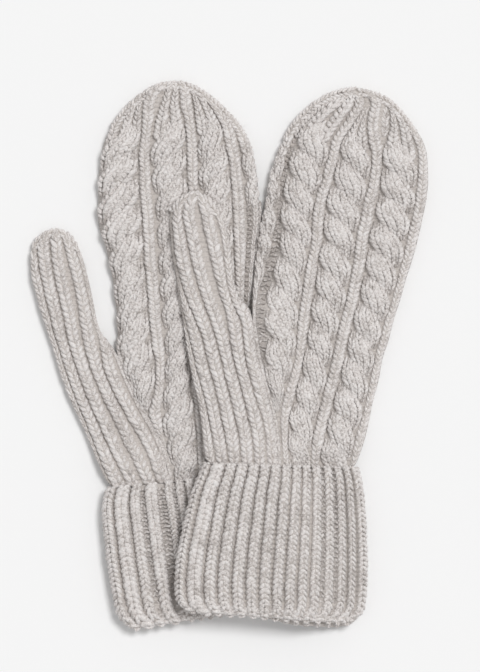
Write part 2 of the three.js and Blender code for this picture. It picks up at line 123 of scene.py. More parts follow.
def linear(code: str) -> tuple[float, float, float, float]:
    """Turns an sRGB hex colour to linear light.

    Args:
        code: Six hex digits.

    Returns:
        Linear red, green, blue and an alpha of 1.
    """
    parts = [int(code[i : i + 2], 16) / 255 for i in (0, 2, 4)]
    low = [c / 12.92 if c <= 0.04045 else ((c + 0.055) / 1.055) ** 2.4 for c in parts]
    return (low[0], low[1], low[2], 1.0)


def add(
    tree: bpy.types.NodeTree,
    kind: str,
    inputs: dict[str | int, object] | None = None,
    **settings: object,
) -> bpy.types.Node:
    """Adds one node to a tree with its settings and links.

    Args:
        tree: The node tree.
        kind: Blender's type name of the node.
        inputs: Values, or output sockets to link, by input name or place.
        **settings: Attributes of the node.

    Returns:
        The new node.
    """
    node = tree.nodes.new(kind)
    for key, value in settings.items():
        setattr(node, key, value)
    for key, value in (inputs or {}).items():
        if isinstance(value, bpy.types.NodeSocket):
            tree.links.new(value, node.inputs[key])
        else:
            node.inputs[key].default_value = value
    return node


@dataclass(frozen=True)
class PhotoMap:
    """Places photo points, x right and y down, in the shared frame in mm."""

    pair_length: float = 261.0
    top: float = 81.3
    bottom: float = 630.8
    middle_x: float = 229.25
    middle_y: float = 355.19

    @property
    def mm(self) -> float:
        """Width of one photo point in mm."""
        return self.pair_length / (self.bottom - self.top)

    def place(self, x: np.ndarray, y: np.ndarray, z: np.ndarray) -> np.ndarray:
        """Turns photo points and heights to frame points.

        Args:
            x: Photo points across.
            y: Photo points down.
            z: Heights over the floor in mm.

        Returns:
            Points in mm, one row each.
        """
        across, down, height = np.broadcast_arrays(x, y, z)
        points = ((across - self.middle_x) * self.mm, (self.middle_y - down) * self.mm, height)
        return np.stack(points, -1)


PHOTO = PhotoMap()
MM = PHOTO.mm


@dataclass(frozen=True)
class Lines:
    """Lines read from the photo: the first column is the key, the rest are named lines."""

    columns: tuple[str, ...]
    rows: tuple[tuple[float, ...], ...]

    @cached_property
    def data(self) -> np.ndarray:
        """The rows as numbers."""
        return np.array(self.rows, float)

    @cached_property
    def slopes(self) -> np.ndarray:
        """Harmonic-mean slopes, so that a line never overshoots its readings.

        Returns:
            One row of slopes for each reading.
        """
        keys, values = self.data[:, 0], self.data[:, 1:]
        steps = np.diff(values, axis=0) / np.diff(keys)[:, None]
        out = np.empty_like(values)
        out[0], out[-1] = steps[0], steps[-1]
        before, after = steps[:-1], steps[1:]
        total = np.where(before * after > 0, before + after, 1.0)
        out[1:-1] = np.where(before * after > 0, 2 * before * after / total, 0.0)
        return out

    def at(self, key: np.ndarray | float) -> np.ndarray:
        """Reads every line at some values of the key.

        Args:
            key: Values of the first column.

        Returns:
            One row of line values for each key.
        """
        keys, values = self.data[:, 0], self.data[:, 1:]
        k = np.clip(np.atleast_1d(np.asarray(key, float)), keys[0], keys[-1])
        i = np.clip(np.searchsorted(keys, k, side="right") - 1, 0, len(keys) - 2)
        span = (keys[i + 1] - keys[i])[:, None]
        t = (k - keys[i])[:, None] / span
        t2, t3 = t * t, t * t * t
        first = (2 * t3 - 3 * t2 + 1) * values[i] + (t3 - 2 * t2 + t) * span * self.slopes[i]
        second = (3 * t2 - 2 * t3) * values[i + 1] + (t3 - t2) * span * self.slopes[i + 1]
        return first + second


# Lines read from the photo, in photo points

OVER_HAND = Lines(
    ("y", "left", "cable0_end", "cable1", "knit1", "cable2", "knit2", "cable3", "knit3", "right"),
    (
        (88.5, 352, 353, 354, 355.5, 357, 358.5, 360, 361, 362),
        (91, 338, 341, 345, 351, 357, 361, 366, 369, 372),
        (97, 324, 331, 341, 355, 364, 369, 378, 382, 386),
        (103, 314, 320, 330, 355, 365, 370, 385, 391, 395),
        (112, 303.5, 309, 316, 350, 361, 368, 390, 399, 403),
        (126, 291.5, 298, 303, 341, 352, 366, 390, 408, 413.5),
        (140, 283.5, 293, 297, 331, 343, 368, 386, 414, 423),
        (156, 276.5, 286.5, 291, 327.5, 339, 371, 383, 418, 427.5),
        (180, 269, 281, 286, 321, 333, 369, 381, 417, 428.5),
        (200, 266.5, 279, 282.5, 314.5, 327, 363, 378, 415, 426.5),
        (220, 262, 275.5, 281, 311.5, 324.5, 359.5, 374, 411, 422.5),
        (240, 259, 272.5, 281, 311, 323, 355, 369, 406, 418),
        (260, 256.5, 267.5, 277, 306.5, 318.5, 353, 367, 402, 412.5),
        (280, 254.5, 262, 272, 303, 316.5, 349, 363, 396.5, 406),
        (300, 252.8, 256.5, 266, 300.5, 313, 345.5, 359, 391.5, 400.5),
        (320, 252.5, 254, 264.5, 297.5, 310, 340, 353.5, 384.5, 394),
        (340, 255, 256.5, 268, 296, 307.5, 335, 349, 379, 389),
        (360, 258, 259, 264, 294, 303.5, 331, 344.5, 374, 382.5),
        (380, 263.5, 264.5, 266.5, 288, 299, 326, 340, 369.5, 379),
        (400, 268.5, 269.5, 271, 281.5, 294, 321, 334, 366, 373.5),
        (420, 273.5, 274.3, 275.2, 279.5, 289, 316, 329, 360, 369.5),
        (440, 276.5, 277.2, 278, 281, 288, 311.5, 324.5, 354, 364.5),
        (460, 277.5, 278.2, 279, 282, 289, 310, 320, 350.5, 357),
        (468, 278, 278.7, 279.5, 282.5, 289.5, 310, 320, 347, 352.8),
        (484, 279, 279.7, 280.5, 283.5, 290, 310, 320, 346, 352.4),
    ),
)
UNDER_HAND = Lines(
    ("y", "left", "knit1", "cable2", "knit2", "cable3", "knit3", "cable4", "right"),
    (
        (81.3, 170, 171, 173, 177, 179.5, 181, 182, 183),
        (84, 157, 160, 168, 178.5, 184, 188, 189.5, 191),
        (90, 146, 149, 165, 179, 190, 197, 200, 203),
        (98, 134.5, 143.5, 162, 179, 192, 204.5, 209, 213.5),
        (106, 125.5, 141.5, 159.5, 179.5, 193, 210, 217, 222.5),
        (118, 115.5, 141.5, 155, 183.5, 194.5, 217.5, 228, 234.5),
        (130, 109, 141, 152, 185, 196, 222, 235, 243.5),
        (145, 103, 138.7, 151, 186, 198, 224.5, 239, 250.5),
        (160, 100.5, 138, 150.5, 186, 198.5, 228, 241.5, 254),
        (180, 98, 138.2, 152, 186.5, 199, 230, 244.5, 257.5),
        (200, 98, 139.5, 155.3, 188, 201, 231.5, 246, 258.5),
        (214, 97.5, 141.2, 156.2, 189, 202, 232, 247, 259),
        (228, 99, 142, 157.2, 190, 203, 232.5, 247.5, 258),
        (240, 103.5, 142.5, 158, 191, 204, 233, 247, 256.5),
        (260, 108.5, 143.3, 158.7, 192, 205, 234, 246, 254.5),
        (280, 112.5, 145.5, 159.5, 193, 206, 235, 245, 252.5),
        (300, 115, 147, 161, 194, 207, 235, 244.5, 250.8),
        (320, 117, 148.5, 163, 194, 207, 235, 244, 250.5),
        (338, 117, 150.5, 165, 192, 205, 233, 243, 250.5),
        (350, 116.3, 152, 165.5, 191, 204, 232, 242, 250.5),
        (365, 121.5, 155, 165.5, 190, 203, 231, 241, 250.5),
        (385, 129.3, 154.5, 164.8, 190, 203, 230, 240, 249.5),
        (400, 136.5, 151.5, 163.3, 193, 205, 230, 239, 248.5),
        (412, 143, 147.5, 163, 194, 206, 230, 239, 247.5),
        (424, 149.5, 151.5, 163, 195, 207, 230.5, 238.5, 246.5),
        (436, 156.5, 158.5, 164, 196, 208, 231, 238, 245.5),
        (450, 162, 164, 168, 196.5, 208.5, 231, 238, 244.5),
        (465, 166.5, 168.5, 172, 197, 209, 231.5, 238, 243.5),
        (480, 170, 172, 175, 199, 211, 233, 239, 243.5),
        (500, 174, 176, 179, 202, 214, 236, 241.5, 245),
    ),
)
OVER_THUMB = Lines(
    ("y", "left", "rib1", "rib2", "rib3", "rib4", "rib5", "right"),
    (
        (193, 190, 190.8, 191.6, 193, 195, 196.5, 198),
        (196, 184, 185.2, 186.4, 190, 197, 201.5, 204),
        (202, 177, 178, 179, 185, 198, 207, 210.5),
        (210, 171.5, 172.5, 173.5, 182, 199.5, 212.5, 217.5),
        (222, 170, 171, 172, 183, 201.5, 217.5, 224),
        (235, 171, 172, 173, 186, 204.5, 221, 228),
        (250, 172, 173, 174.3, 188.8, 208, 223, 230.5),
        (265, 174.5, 175.5, 177, 192, 211.5, 224.5, 232),
        (280, 177, 178, 180.5, 196, 215.5, 226.5, 233.5),
        (293, 178.5, 179.6, 184.5, 200, 219.5, 229.5, 237.5),
        (303, 180, 181.2, 188, 203.5, 223, 232.5, 243),
        (310, 181.5, 183, 191.5, 206, 225, 236, 249.5),
        (322, 183.5, 186, 196, 210.5, 227, 241, 252.6),
        (340, 186, 190, 202.5, 216, 229.5, 243, 255),
        (360, 189, 194.5, 207, 221, 233.5, 245.5, 258),
        (380, 193, 199.5, 212.5, 225.5, 238.5, 250.5, 263.5),
        (400, 198, 205, 217.3, 230.5, 243.8, 255.8, 268.5),
        (420, 201, 209, 221.3, 235.3, 248, 262, 273.5),
        (440, 203, 212.5, 225.6, 239, 252.3, 264.7, 276.5),
        (458, 205.3, 214.5, 227.6, 240, 253.5, 265.5, 277.5),
        (466, 209, 216.5, 228.3, 240.7, 254, 266, 278),
        (484, 209.4, 217.5, 229, 241.5, 254.5, 267, 279),
    ),
)
UNDER_THUMB = Lines(
    ("y", "left", "rib1", "rib2", "rib3", "rib4", "right"),
    (
        (229.5, 53, 54, 55.5, 58, 60, 61.5),
        (232, 44.7, 47, 52, 59.5, 64, 66),
        (238, 36.5, 40, 49.5, 62, 68.5, 72),
        (246, 31.5, 36.5, 49.5, 64, 73, 77.5),
        (260, 30, 37.5, 51, 67.3, 79, 83),
        (275, 30.7, 40, 53.3, 71, 83, 87),
        (290, 34.5, 43.5, 56.5, 74.5, 86, 90.5),
        (305, 38.5, 46.5, 60, 77, 89.5, 93.5),
        (320, 43, 50.5, 63.3, 79, 92.5, 96.5),
        (335, 48, 54, 66, 81.5, 97, 102.5),
        (346, 52, 58, 68.8, 83.5, 99.3, 111),
        (360, 56, 62, 73.3, 87.3, 101, 119),
        (380, 62, 68.5, 80, 94.5, 107.5, 127),
        (400, 70, 76, 87.5, 103.5, 117.3, 136.5),
        (420, 79.5, 84.5, 96.5, 113, 128.3, 147.3),
        (440, 89, 93, 105.5, 122.5, 140.5, 158.2),
        (460, 98.5, 102, 116.5, 133.5, 150, 165),
        (474, 106, 109, 123.5, 139.5, 154, 168.6),
        (482, 112.6, 115, 128, 144, 157, 170.4),
        (500, 113.6, 118, 132, 149, 162, 174),
    ),
)
OVER_CUFF = Lines(
    ("along", "left_x", "left_y", "right_x", "right_y"),
    (
        (0.0, 203, 463, 358.5, 469),
        (0.06, 199, 474, 361.5, 478),
        (0.2, 191, 493, 364.5, 502),
        (0.4, 184, 522, 366.5, 532),
        (0.6, 178, 550, 367.5, 560),
        (0.8, 175, 580, 367, 588),
        (0.92, 176, 598, 365.5, 608),
        (1.0, 184, 609, 355, 624),
    ),
)
UNDER_CUFF = Lines(
    ("along", "left_x", "left_y", "right_x", "right_y"),
    (
        (0.0, 107, 488.5, 270, 472),
        (0.06, 103, 499, 277, 482),
        (0.2, 102, 513, 284, 494),
        (0.4, 104, 535, 290, 518),
        (0.6, 107, 562, 295, 545),
        (0.8, 111.5, 590, 299, 572),
        (0.92, 115.5, 612, 301, 590),
        (1.0, 128, 630, 293, 604),
    ),
)
# Where the over mitten leaves the one beneath and where it reaches the floor.
LAY_DOWN = Lines(
    ("y", "leave", "floor"),
    (
        (180, 238, 260),
        (280, 238, 262),
        (302, 245, 276),
        (325, 252, 298),
        (345, 254, 304),
        (440, 251, 312),
        (456, 259, 320),
        (470, 265, 326),
        (494, 276, 334),
        (518, 284, 340),
        (545, 290, 346),
        (590, 297, 352),
        (640, 297, 352),
    ),
)
# Where the gutters lie between the ribs, as shares of a cuff's width from its left edge.
OVER_GUTTERS = (
    0, 0.055, 0.146, 0.216, 0.29, 0.363, 0.431, 0.501, 0.566, 0.631, 0.693, 0.762, 0.832,
    0.893, 0.945, 1,
)
UNDER_GUTTERS = (
    0, 0.062, 0.149, 0.227, 0.335, 0.41, 0.472, 0.534, 0.594, 0.653, 0.712, 0.77, 0.828,
    0.886, 0.944, 1,
)


@dataclass(frozen=True)
class Lay:
    """How high each mitten's underside lies: one rests on the floor, one on it and the floor."""

    hand_level: float = 9.3
    cuff_level: float = 12.2
    cuff_from: float = 425.0
    cuff_ease: float = 45.0

    def height(self, mitten: Mitten, x: np.ndarray, y: np.ndarray) -> np.ndarray:
        """Height of a mitten's underside over the floor.

        Args:
            mitten: Which of the pair.
            x: Photo points across.
            y: Photo points down.

        Returns:
            Heights in mm.
        """
        if mitten is Mitten.UNDER:
            return np.zeros(np.broadcast(x, y).shape)
        shape = np.broadcast(x, y).shape
        lines = LAY_DOWN.at(np.broadcast_to(y, shape).ravel())
        leave, floor = (lines[:, i].reshape(shape) for i in (0, 1))
        level = mix(self.hand_level, self.cuff_level, smooth((y - self.cuff_from) / self.cuff_ease))
        return level * (1 - smooth((x - leave) / (floor - leave)))


LAY = Lay()


@dataclass(frozen=True)
class Straying:
    """How far hand-knitted stitches stray from each other, as standard deviations."""

    place_mm: float = 0.06
    lean: float = 0.055
    size: float = 0.07
    tone: float = 0.45


@dataclass(frozen=True)
class LooseFibres:
    """Sizes in mm, from least to most, of the fibres that stand off the yarn."""

    length: tuple[float, float] = (1.2, 3.6)
    lift: tuple[float, float] = (0.0, 1.0)
    width: tuple[float, float] = (0.06, 0.13)
    depth: float = 0.09
    root: float = 0.35
    tone: float = 0.8


STRAYING = Straying()
LOOSE_FIBRES = LooseFibres()


@dataclass
class Legs:
    """Yarn legs of a piece: where each lies, how it is turned, and its size, all in mm."""

    starts: list[np.ndarray] = field(default_factory=list)
    ends: list[np.ndarray] = field(default_factory=list)
    normals: list[np.ndarray] = field(default_factory=list)
    widths: list[np.ndarray] = field(default_factory=list)
    depths: list[np.ndarray] = field(default_factory=list)
    tones: list[np.ndarray] = field(default_factory=list)

    def lay(
        self,
        start: np.ndarray,
        end: np.ndarray,
        normal: np.ndarray | tuple[float, float, float],
        width: np.ndarray | float,
        depth: np.ndarray | float,
        tone: np.ndarray | float = 0.0,
    ) -> None:
        """Adds a group of legs.

        Args:
            start: First ends.
            end: Second ends.
            normal: Directions out of the cloth, or one for all.
            width: Widths of the yarn as it lies.
            depth: Thicknesses of the yarn.
            tone: How much paler than the rest the yarn is, or darker when negative; the darker tones
                given to rungs, seams, the hem and tucked strand ends are painted shade.
        """
        n = len(start)
        self.starts.append(start)
        self.ends.append(end)
        self.normals.append(np.broadcast_to(normal, start.shape))
        self.widths.append(np.broadcast_to(width, n).astype(float))
        self.depths.append(np.broadcast_to(depth, n).astype(float))
        self.tones.append(np.broadcast_to(tone, n).astype(float))

    def fuzz(self, count: int, rng: np.random.Generator) -> "Legs":
        """Loose fibres that stand off the yarn and cross from leg to leg.

        Args:
            count: How many fibres.
            rng: Seeded source of where they stand.

        Returns:
            The fibres, as very thin legs.
        """
        sizes = LOOSE_FIBRES
        start, end = np.concatenate(self.starts), np.concatenate(self.ends)
        pick = rng.integers(0, len(start), count)
        normal = np.concatenate(self.normals)[pick]
        depth = np.concatenate(self.depths)[pick][:, None]
        base = mix(start[pick], end[pick], rng.random((count, 1))) + normal * depth * sizes.root
        drift = rng.normal(0, 1, (count, 3))
        drift = unit(drift - (drift * normal).sum(1)[:, None] * normal)
        tip = base + drift * rng.uniform(*sizes.length, (count, 1))
        tip = tip + normal * rng.uniform(*sizes.lift, (count, 1))
        fibres = Legs()
        width = rng.uniform(*sizes.width, count)
        fibres.lay(base, tip, normal, width, sizes.depth, sizes.tone)
        return fibres

    def point_mesh(self, name: str, rng: np.random.Generator) -> bpy.types.Mesh:
        """Makes a mesh of points that carries each leg's turn, size and tone.

        Args:
            name: Name of the mesh.
            rng: Seeded source of the yarn's unevenness.

        Returns:
            The point mesh, in metres.
        """
        start, end = np.concatenate(self.starts), np.concatenate(self.ends)
        n, run = len(start), end - start
        middle = (start + end) / 2 + rng.normal(0, STRAYING.place_mm, (n, 3))
        length = np.linalg.norm(run, axis=1)
        x_axis = unit(run + rng.normal(0, STRAYING.lean, (n, 3)) * length[:, None])
        normal = np.concatenate(self.normals)
        z_axis = unit(normal - (normal * x_axis).sum(1)[:, None] * x_axis)
        y_axis = np.cross(z_axis, x_axis)
        roll = np.arctan2(y_axis[:, 2], z_axis[:, 2])
        pitch = np.arcsin(np.clip(-x_axis[:, 2], -1, 1))
        heading = np.arctan2(x_axis[:, 1], x_axis[:, 0])
        uneven = 1 + rng.normal(0, STRAYING.size, (n, 3))
        widths, depths = np.concatenate(self.widths), np.concatenate(self.depths)
        size = np.stack((length, widths, depths), -1) * uneven * MILLI
        # Each leg's tone is its random heather tone plus any painted shade given to it.
        tone = np.concatenate(self.tones) + rng.normal(0, STRAYING.tone, n)
        mesh = bpy.data.meshes.new(name)
        mesh.vertices.add(n)
        mesh.vertices.foreach_set("co", (middle * MILLI).astype(np.float32).ravel())
        for label, values in (("turn", np.stack((roll, pitch, heading), -1)), ("size", size)):
            slot = mesh.attributes.new(label, "FLOAT_VECTOR", "POINT")
            slot.data.foreach_set("vector", values.astype(np.float32).ravel())
        slot = mesh.attributes.new("tone", "FLOAT", "POINT")
        slot.data.foreach_set("value", tone.astype(np.float32))
        return mesh


# Finishes


@dataclass(frozen=True)
class WoolYarn:
    """Spun lambswool, a light greige heather: matt, softly fuzzy, with paler and darker fibres."""

    name: str = "lambswool_yarn_heather"
    pale: str = "F8F4F2"
    body: str = "ECE6E3"
    dark: str = "BDB5B0"
    roughness: float = 0.95
    nap: float = 0.35
    nap_roughness: float = 0.6
    specular: float = 0.2
    stops: tuple[float, float, float] = (0.42, 0.62, 0.82)
    fleck_mm: float = 0.9
    patch_mm: float = 9.0
    patch_share: float = 0.25
    tone_share: float = 0.1
    fibre_mm: float = 0.35
    plies: float = 3.0
    ply_share: float = 0.18
    bump: float = 0.8
    bump_mm: float = 0.6

    def build(self) -> bpy.types.Material:
        """Makes the material that the stitches wear.

        Returns:
            The material.
        """
        material = bpy.data.materials.new(self.name)
        material.use_nodes = True
        tree = material.node_tree
        tree.nodes.clear()
        place = add(tree, "ShaderNodeTexCoord").outputs["Object"]
        # The tone attribute carries each leg's random heather tone and the painted shade of legs in
        # gutters, creases and seams.
        tone = add(tree, "ShaderNodeAttribute", attribute_name="tone").outputs["Fac"]
        along = add(tree, "ShaderNodeAttribute", attribute_name="along").outputs["Fac"]
        # The flecks of a heather yarn are drawn near a millimetre, so that they show.
        fleck = add(
            tree,
            "ShaderNodeTexNoise",
            {"Vector": place, "Scale": 1 / (self.fleck_mm * MILLI), "Detail": 3.0, "Roughness": 0.6},
        ).outputs["Fac"]
        patch = add(
            tree,
            "ShaderNodeTexNoise",
            {"Vector": place, "Scale": 1 / (self.patch_mm * MILLI), "Detail": 2.0},
        ).outputs["Fac"]
        stitch = add(
            tree,
            "ShaderNodeMath",
            {0: tone, 1: self.tone_share, 2: fleck},
            operation="MULTIPLY_ADD",
        ).outputs[0]
        mixed = add(
            tree,
            "ShaderNodeMath",
            {0: patch, 1: self.patch_share, 2: stitch},
            operation="MULTIPLY_ADD",
        ).outputs[0]
        ramp = add(tree, "ShaderNodeValToRGB", {"Fac": mixed})
        low, middle, high = self.stops
        stops = ramp.color_ramp.elements
        stops[0].position, stops[0].color = low, linear(self.dark)
        stops[1].position, stops[1].color = high, linear(self.pale)
        stops.new(middle).color = linear(self.body)
        fibre = add(
            tree,
            "ShaderNodeTexNoise",
            {"Vector": place, "Scale": 1 / (self.fibre_mm * MILLI), "Detail": 2.0},
        ).outputs["Fac"]
        twist = add(
            tree,
            "ShaderNodeMath",
            {0: along, 1: self.plies * 2 * math.pi, 2: fleck},
            operation="MULTIPLY_ADD",
        ).outputs[0]
        ply = add(tree, "ShaderNodeMath", {0: twist}, operation="SINE").outputs[0]
        height = add(
            tree,
            "ShaderNodeMath",
            {0: ply, 1: self.ply_share, 2: fibre},
            operation="MULTIPLY_ADD",
        ).outputs[0]
        bump = add(
            tree,
            "ShaderNodeBump",
            {"Height": height, "Strength": self.bump, "Distance": self.bump_mm * MILLI},
        )
        shader = add(
            tree,
            "ShaderNodeBsdfPrincipled",
            {
                "Base Color": ramp.outputs["Color"],
                "Roughness": self.roughness,
                "Sheen Weight": self.nap,
                "Sheen Roughness": self.nap_roughness,
                "Specular IOR Level": self.specular,
                "Normal": bump.outputs["Normal"],
            },
        )
        add(tree, "ShaderNodeOutputMaterial", {"Surface": shader.outputs[0]})
        return material


@dataclass(frozen=True)
class WoolGround:
    """The purl ground between the ribs: the same wool in darker colours as painted shade in the
    gutters, with rungs across it.
    """

    name: str = "lambswool_purl_ground"
    # Both colours are darker than the yarn's: painted shade for the cloth seen deep between the
    # stitches.
    pale: str = "E0DAD6"
    dark: str = "B3ABA5"
    roughness: float = 0.95
    nap: float = 0.2
    specular: float = 0.2
    fleck_mm: float = 0.8
    fleck_share: float = 0.4
    rung_mm: float = 2.3
    rung_waver: float = 1.2
    bump: float = 0.8
    bump_mm: float = 0.5

    def build(self) -> bpy.types.Material:
        """Makes the material that the cloth under the stitches wears.

        Returns:
            The material.
        """
        material = bpy.data.materials.new(self.name)
        material.use_nodes = True
        tree = material.node_tree
        tree.nodes.clear()
        place = add(tree, "ShaderNodeTexCoord").outputs["Object"]
        fleck = add(
            tree,
            "ShaderNodeTexNoise",
            {"Vector": place, "Scale": 1 / (self.fleck_mm * MILLI), "Detail": 3.0},
        ).outputs["Fac"]
        # A wave texture runs through 20 radians for each unit of its scale.
        rungs = 2 * math.pi / (20 * self.rung_mm * MILLI)
        rung = add(
            tree,
            "ShaderNodeTexWave",
            {"Vector": place, "Scale": rungs, "Distortion": self.rung_waver},
            bands_direction="Y",
        ).outputs["Fac"]
        colour = add(tree, "ShaderNodeMix", {"Factor": fleck}, data_type="RGBA")
        colour.inputs["A"].default_value = linear(self.dark)
        colour.inputs["B"].default_value = linear(self.pale)
        height = add(
            tree,
            "ShaderNodeMath",
            {0: fleck, 1: self.fleck_share, 2: rung},
            operation="MULTIPLY_ADD",
        ).outputs[0]
        bump = add(
            tree,
            "ShaderNodeBump",
            {"Height": height, "Strength": self.bump, "Distance": self.bump_mm * MILLI},
        )
        shader = add(
            tree,
            "ShaderNodeBsdfPrincipled",
            {
                "Base Color": colour.outputs["Result"],
                "Roughness": self.roughness,
                "Sheen Weight": self.nap,
                "Specular IOR Level": self.specular,
                "Normal": bump.outputs["Normal"],
            },
        )
        add(tree, "ShaderNodeOutputMaterial", {"Surface": shader.outputs[0]})
        return material


# The yarn-leg tree


@dataclass(frozen=True)
class YarnTree:
    """Geometry nodes that set a plump leg of yarn on every point of a mesh."""

    name: str = "yarn_legs"

    def build(self) -> bpy.types.GeometryNodeTree:
        """Makes the tree.

        Returns:
            The node tree, with its sizes as named inputs.
        """
        tree = bpy.data.node_groups.new(self.name, "GeometryNodeTree")
        face = tree.interface
        face.new_socket("Points", in_out="INPUT", socket_type="NodeSocketGeometry")
        for label, value in (("Steps", 5), ("Sides", 6), ("Seed", SEED)):
            face.new_socket(label, in_out="INPUT", socket_type="NodeSocketInt").default_value = value
        for label, value in (("Bow", 0.18), ("Taper", 0.42), ("Uneven", 0.06)):
            face.new_socket(label, in_out="INPUT", socket_type="NodeSocketFloat").default_value = value
        face.new_socket("Yarn", in_out="INPUT", socket_type="NodeSocketMaterial")
        face.new_socket("Stitches", in_out="OUTPUT", socket_type="NodeSocketGeometry")
        given = add(tree, "NodeGroupInput").outputs
        bow = add(tree, "ShaderNodeCombineXYZ", {"Z": given["Bow"]}).outputs[0]
        curve = add(
            tree,
            "GeometryNodeCurveQuadraticBezier",
            {
                "Resolution": given["Steps"],
                "Start": (-0.5, 0.0, 0.0),
                "Middle": bow,
                "End": (0.5, 0.0, 0.0),
            },
        ).outputs[0]
        share = add(tree, "GeometryNodeSplineParameter").outputs["Factor"]
        rest = add(tree, "ShaderNodeMath", {0: 1.0, 1: share}, operation="SUBTRACT").outputs[0]
        hump = add(tree, "ShaderNodeMath", {0: share, 1: rest}, operation="MULTIPLY").outputs[0]
        full = add(tree, "ShaderNodeMath", {0: hump, 1: 4.0, 2: 0.03}, operation="MULTIPLY_ADD")
        radius = add(
            tree, "ShaderNodeMath", {0: full.outputs[0], 1: given["Taper"]}, operation="POWER"
        ).outputs[0]
        marked = add(
            tree,
            "GeometryNodeStoreNamedAttribute",
            {"Geometry": curve, "Name": "along", "Value": share},
            data_type="FLOAT",
            domain="POINT",
        ).outputs[0]
        ring = add(
            tree,
            "GeometryNodeCurvePrimitiveCircle",
            {"Resolution": given["Sides"], "Radius": 0.5},
        ).outputs[0]
        leg = add(
            tree,
            "GeometryNodeCurveToMesh",
            {"Curve": marked, "Profile Curve": ring, "Scale": radius, "Fill Caps": True},
        ).outputs[0]
        soft = add(tree, "GeometryNodeSetShadeSmooth", {"Geometry": leg}).outputs[0]
        turn = add(
            tree, "GeometryNodeInputNamedAttribute", {"Name": "turn"}, data_type="FLOAT_VECTOR"
        ).outputs["Attribute"]
        rotation = add(tree, "FunctionNodeEulerToRotation", {"Euler": turn}).outputs[0]
        size = add(
            tree, "GeometryNodeInputNamedAttribute", {"Name": "size"}, data_type="FLOAT_VECTOR"
        ).outputs["Attribute"]
        least = add(
            tree, "ShaderNodeMath", {0: 1.0, 1: given["Uneven"]}, operation="SUBTRACT"
        ).outputs[0]
        most = add(tree, "ShaderNodeMath", {0: 1.0, 1: given["Uneven"]}, operation="ADD").outputs[0]
        chance = add(
            tree,
            "FunctionNodeRandomValue",
            {"Min": least, "Max": most, "Seed": given["Seed"]},
            data_type="FLOAT",
        ).outputs["Value"]
        scale = add(
            tree, "ShaderNodeVectorMath", {0: size, "Scale": chance}, operation="SCALE"
        ).outputs[0]
        set_out = add(
            tree,
            "GeometryNodeInstanceOnPoints",
            {"Points": given["Points"], "Instance": soft, "Rotation": rotation, "Scale": scale},
        ).outputs[0]
        real = add(tree, "GeometryNodeRealizeInstances", {"Geometry": set_out}).outputs[0]
        for label in ("turn", "size"):
            real = add(
                tree, "GeometryNodeRemoveAttribute", {"Geometry": real, "Name": label}
            ).outputs[0]
        dressed = add(
            tree, "GeometryNodeSetMaterial", {"Geometry": real, "Material": given["Yarn"]}
        ).outputs[0]
        add(tree, "NodeGroupOutput", {"Stitches": dressed})
        return tree


@dataclass(frozen=True)
class Wool:
    """The built materials and the yarn-leg tree that the pieces share."""

    yarn: bpy.types.Material
    ground: bpy.types.Material
    tree: bpy.types.GeometryNodeTree


def grow(
    name: str, legs: Legs, grade: Grade, wool: Wool, rng: np.random.Generator
) -> bpy.types.Object:
    """Runs the yarn tree on a set of legs and keeps the result as a plain mesh.

    Args:
        name: Name of the piece.
        legs: The legs to set.
        grade: How round they are made.
        wool: The shared materials and yarn tree.
        rng: Seeded source of the yarn's unevenness.

    Returns:
        The finished object, with no modifier left.
    """
    carrier = bpy.data.objects.new(name + "_points", legs.point_mesh(name + "_points", rng))
    bpy.context.scene.collection.objects.link(carrier)
    modifier = carrier.modifiers.new("yarn", "NODES")
    modifier.node_group = wool.tree
    values = {**grade.value, "Yarn": wool.yarn}
    for item in wool.tree.interface.items_tree:
        if item.item_type == "SOCKET" and item.in_out == "INPUT" and item.name in values:
            modifier[item.identifier] = values[item.name]
    depsgraph = bpy.context.evaluated_depsgraph_get()
    mesh = bpy.data.meshes.new_from_object(carrier.evaluated_get(depsgraph))
    mesh.name = name
    spots = np.empty(len(mesh.vertices) * 3, np.float32)
    mesh.vertices.foreach_get("co", spots)
    # Yarn that dips under the floor is pressed flat on it.
    spots[2::3] = np.maximum(spots[2::3], 0.0)
    mesh.vertices.foreach_set("co", spots)
    mesh.update()
    bpy.data.objects.remove(carrier, do_unlink=True)
    piece = bpy.data.objects.new(name, mesh)
    bpy.context.scene.collection.objects.link(piece)
    return piece


def dress(
    cloth: bpy.types.Object,
    sides: tuple[Legs, Legs],
    fibres: int,
    wool: Wool,
    rng: np.random.Generator,
) -> list[bpy.types.Object]:
    """Grows the stitches and loose fibres of a cloth, attaches all of it to the root body and hides
    the solid it replaces.

    Args:
        cloth: The shell, named for its solid.
        sides: Legs of the front and of the underside.
        fibres: How many loose fibres the front has.
        wool: The shared materials and yarn tree.
        rng: Seeded source of the yarn's unevenness.

    Returns:
        The cloth, its stitches, its underside and its fibres.
    """
    front, back = sides
    pieces = [
        cloth,
        grow(cloth.name + "_stitches", front, Grade.FINE, wool, rng),
        grow(cloth.name + "_underside", back, Grade.PLAIN, wool, rng),
        grow(cloth.name + "_fuzz", front.fuzz(fibres, rng), Grade.LOOSE, wool, rng),
    ]
    for piece in pieces:
        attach(piece, "root")
    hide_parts(cloth.name.removesuffix("_cloth"))
    return pieces


def tube_faces(base: int, rings: int, n: int, closed: bool = False) -> list[tuple[int, ...]]:
    """Quads between rings of points that follow each other.

    Args:
        base: Number of the first ring's first point.
        rings: How many rings.
        n: Points in a ring.
        closed: Whether the last ring joins the first.

    Returns:
        Point numbers of each face.
    """
    faces = []
    for r in range(rings if closed else rings - 1):
        a, b = base + r * n, base + (r + 1) % rings * n
        faces += [(a + i, b + i, b + (i + 1) % n, a + (i + 1) % n) for i in range(n)]
    return faces


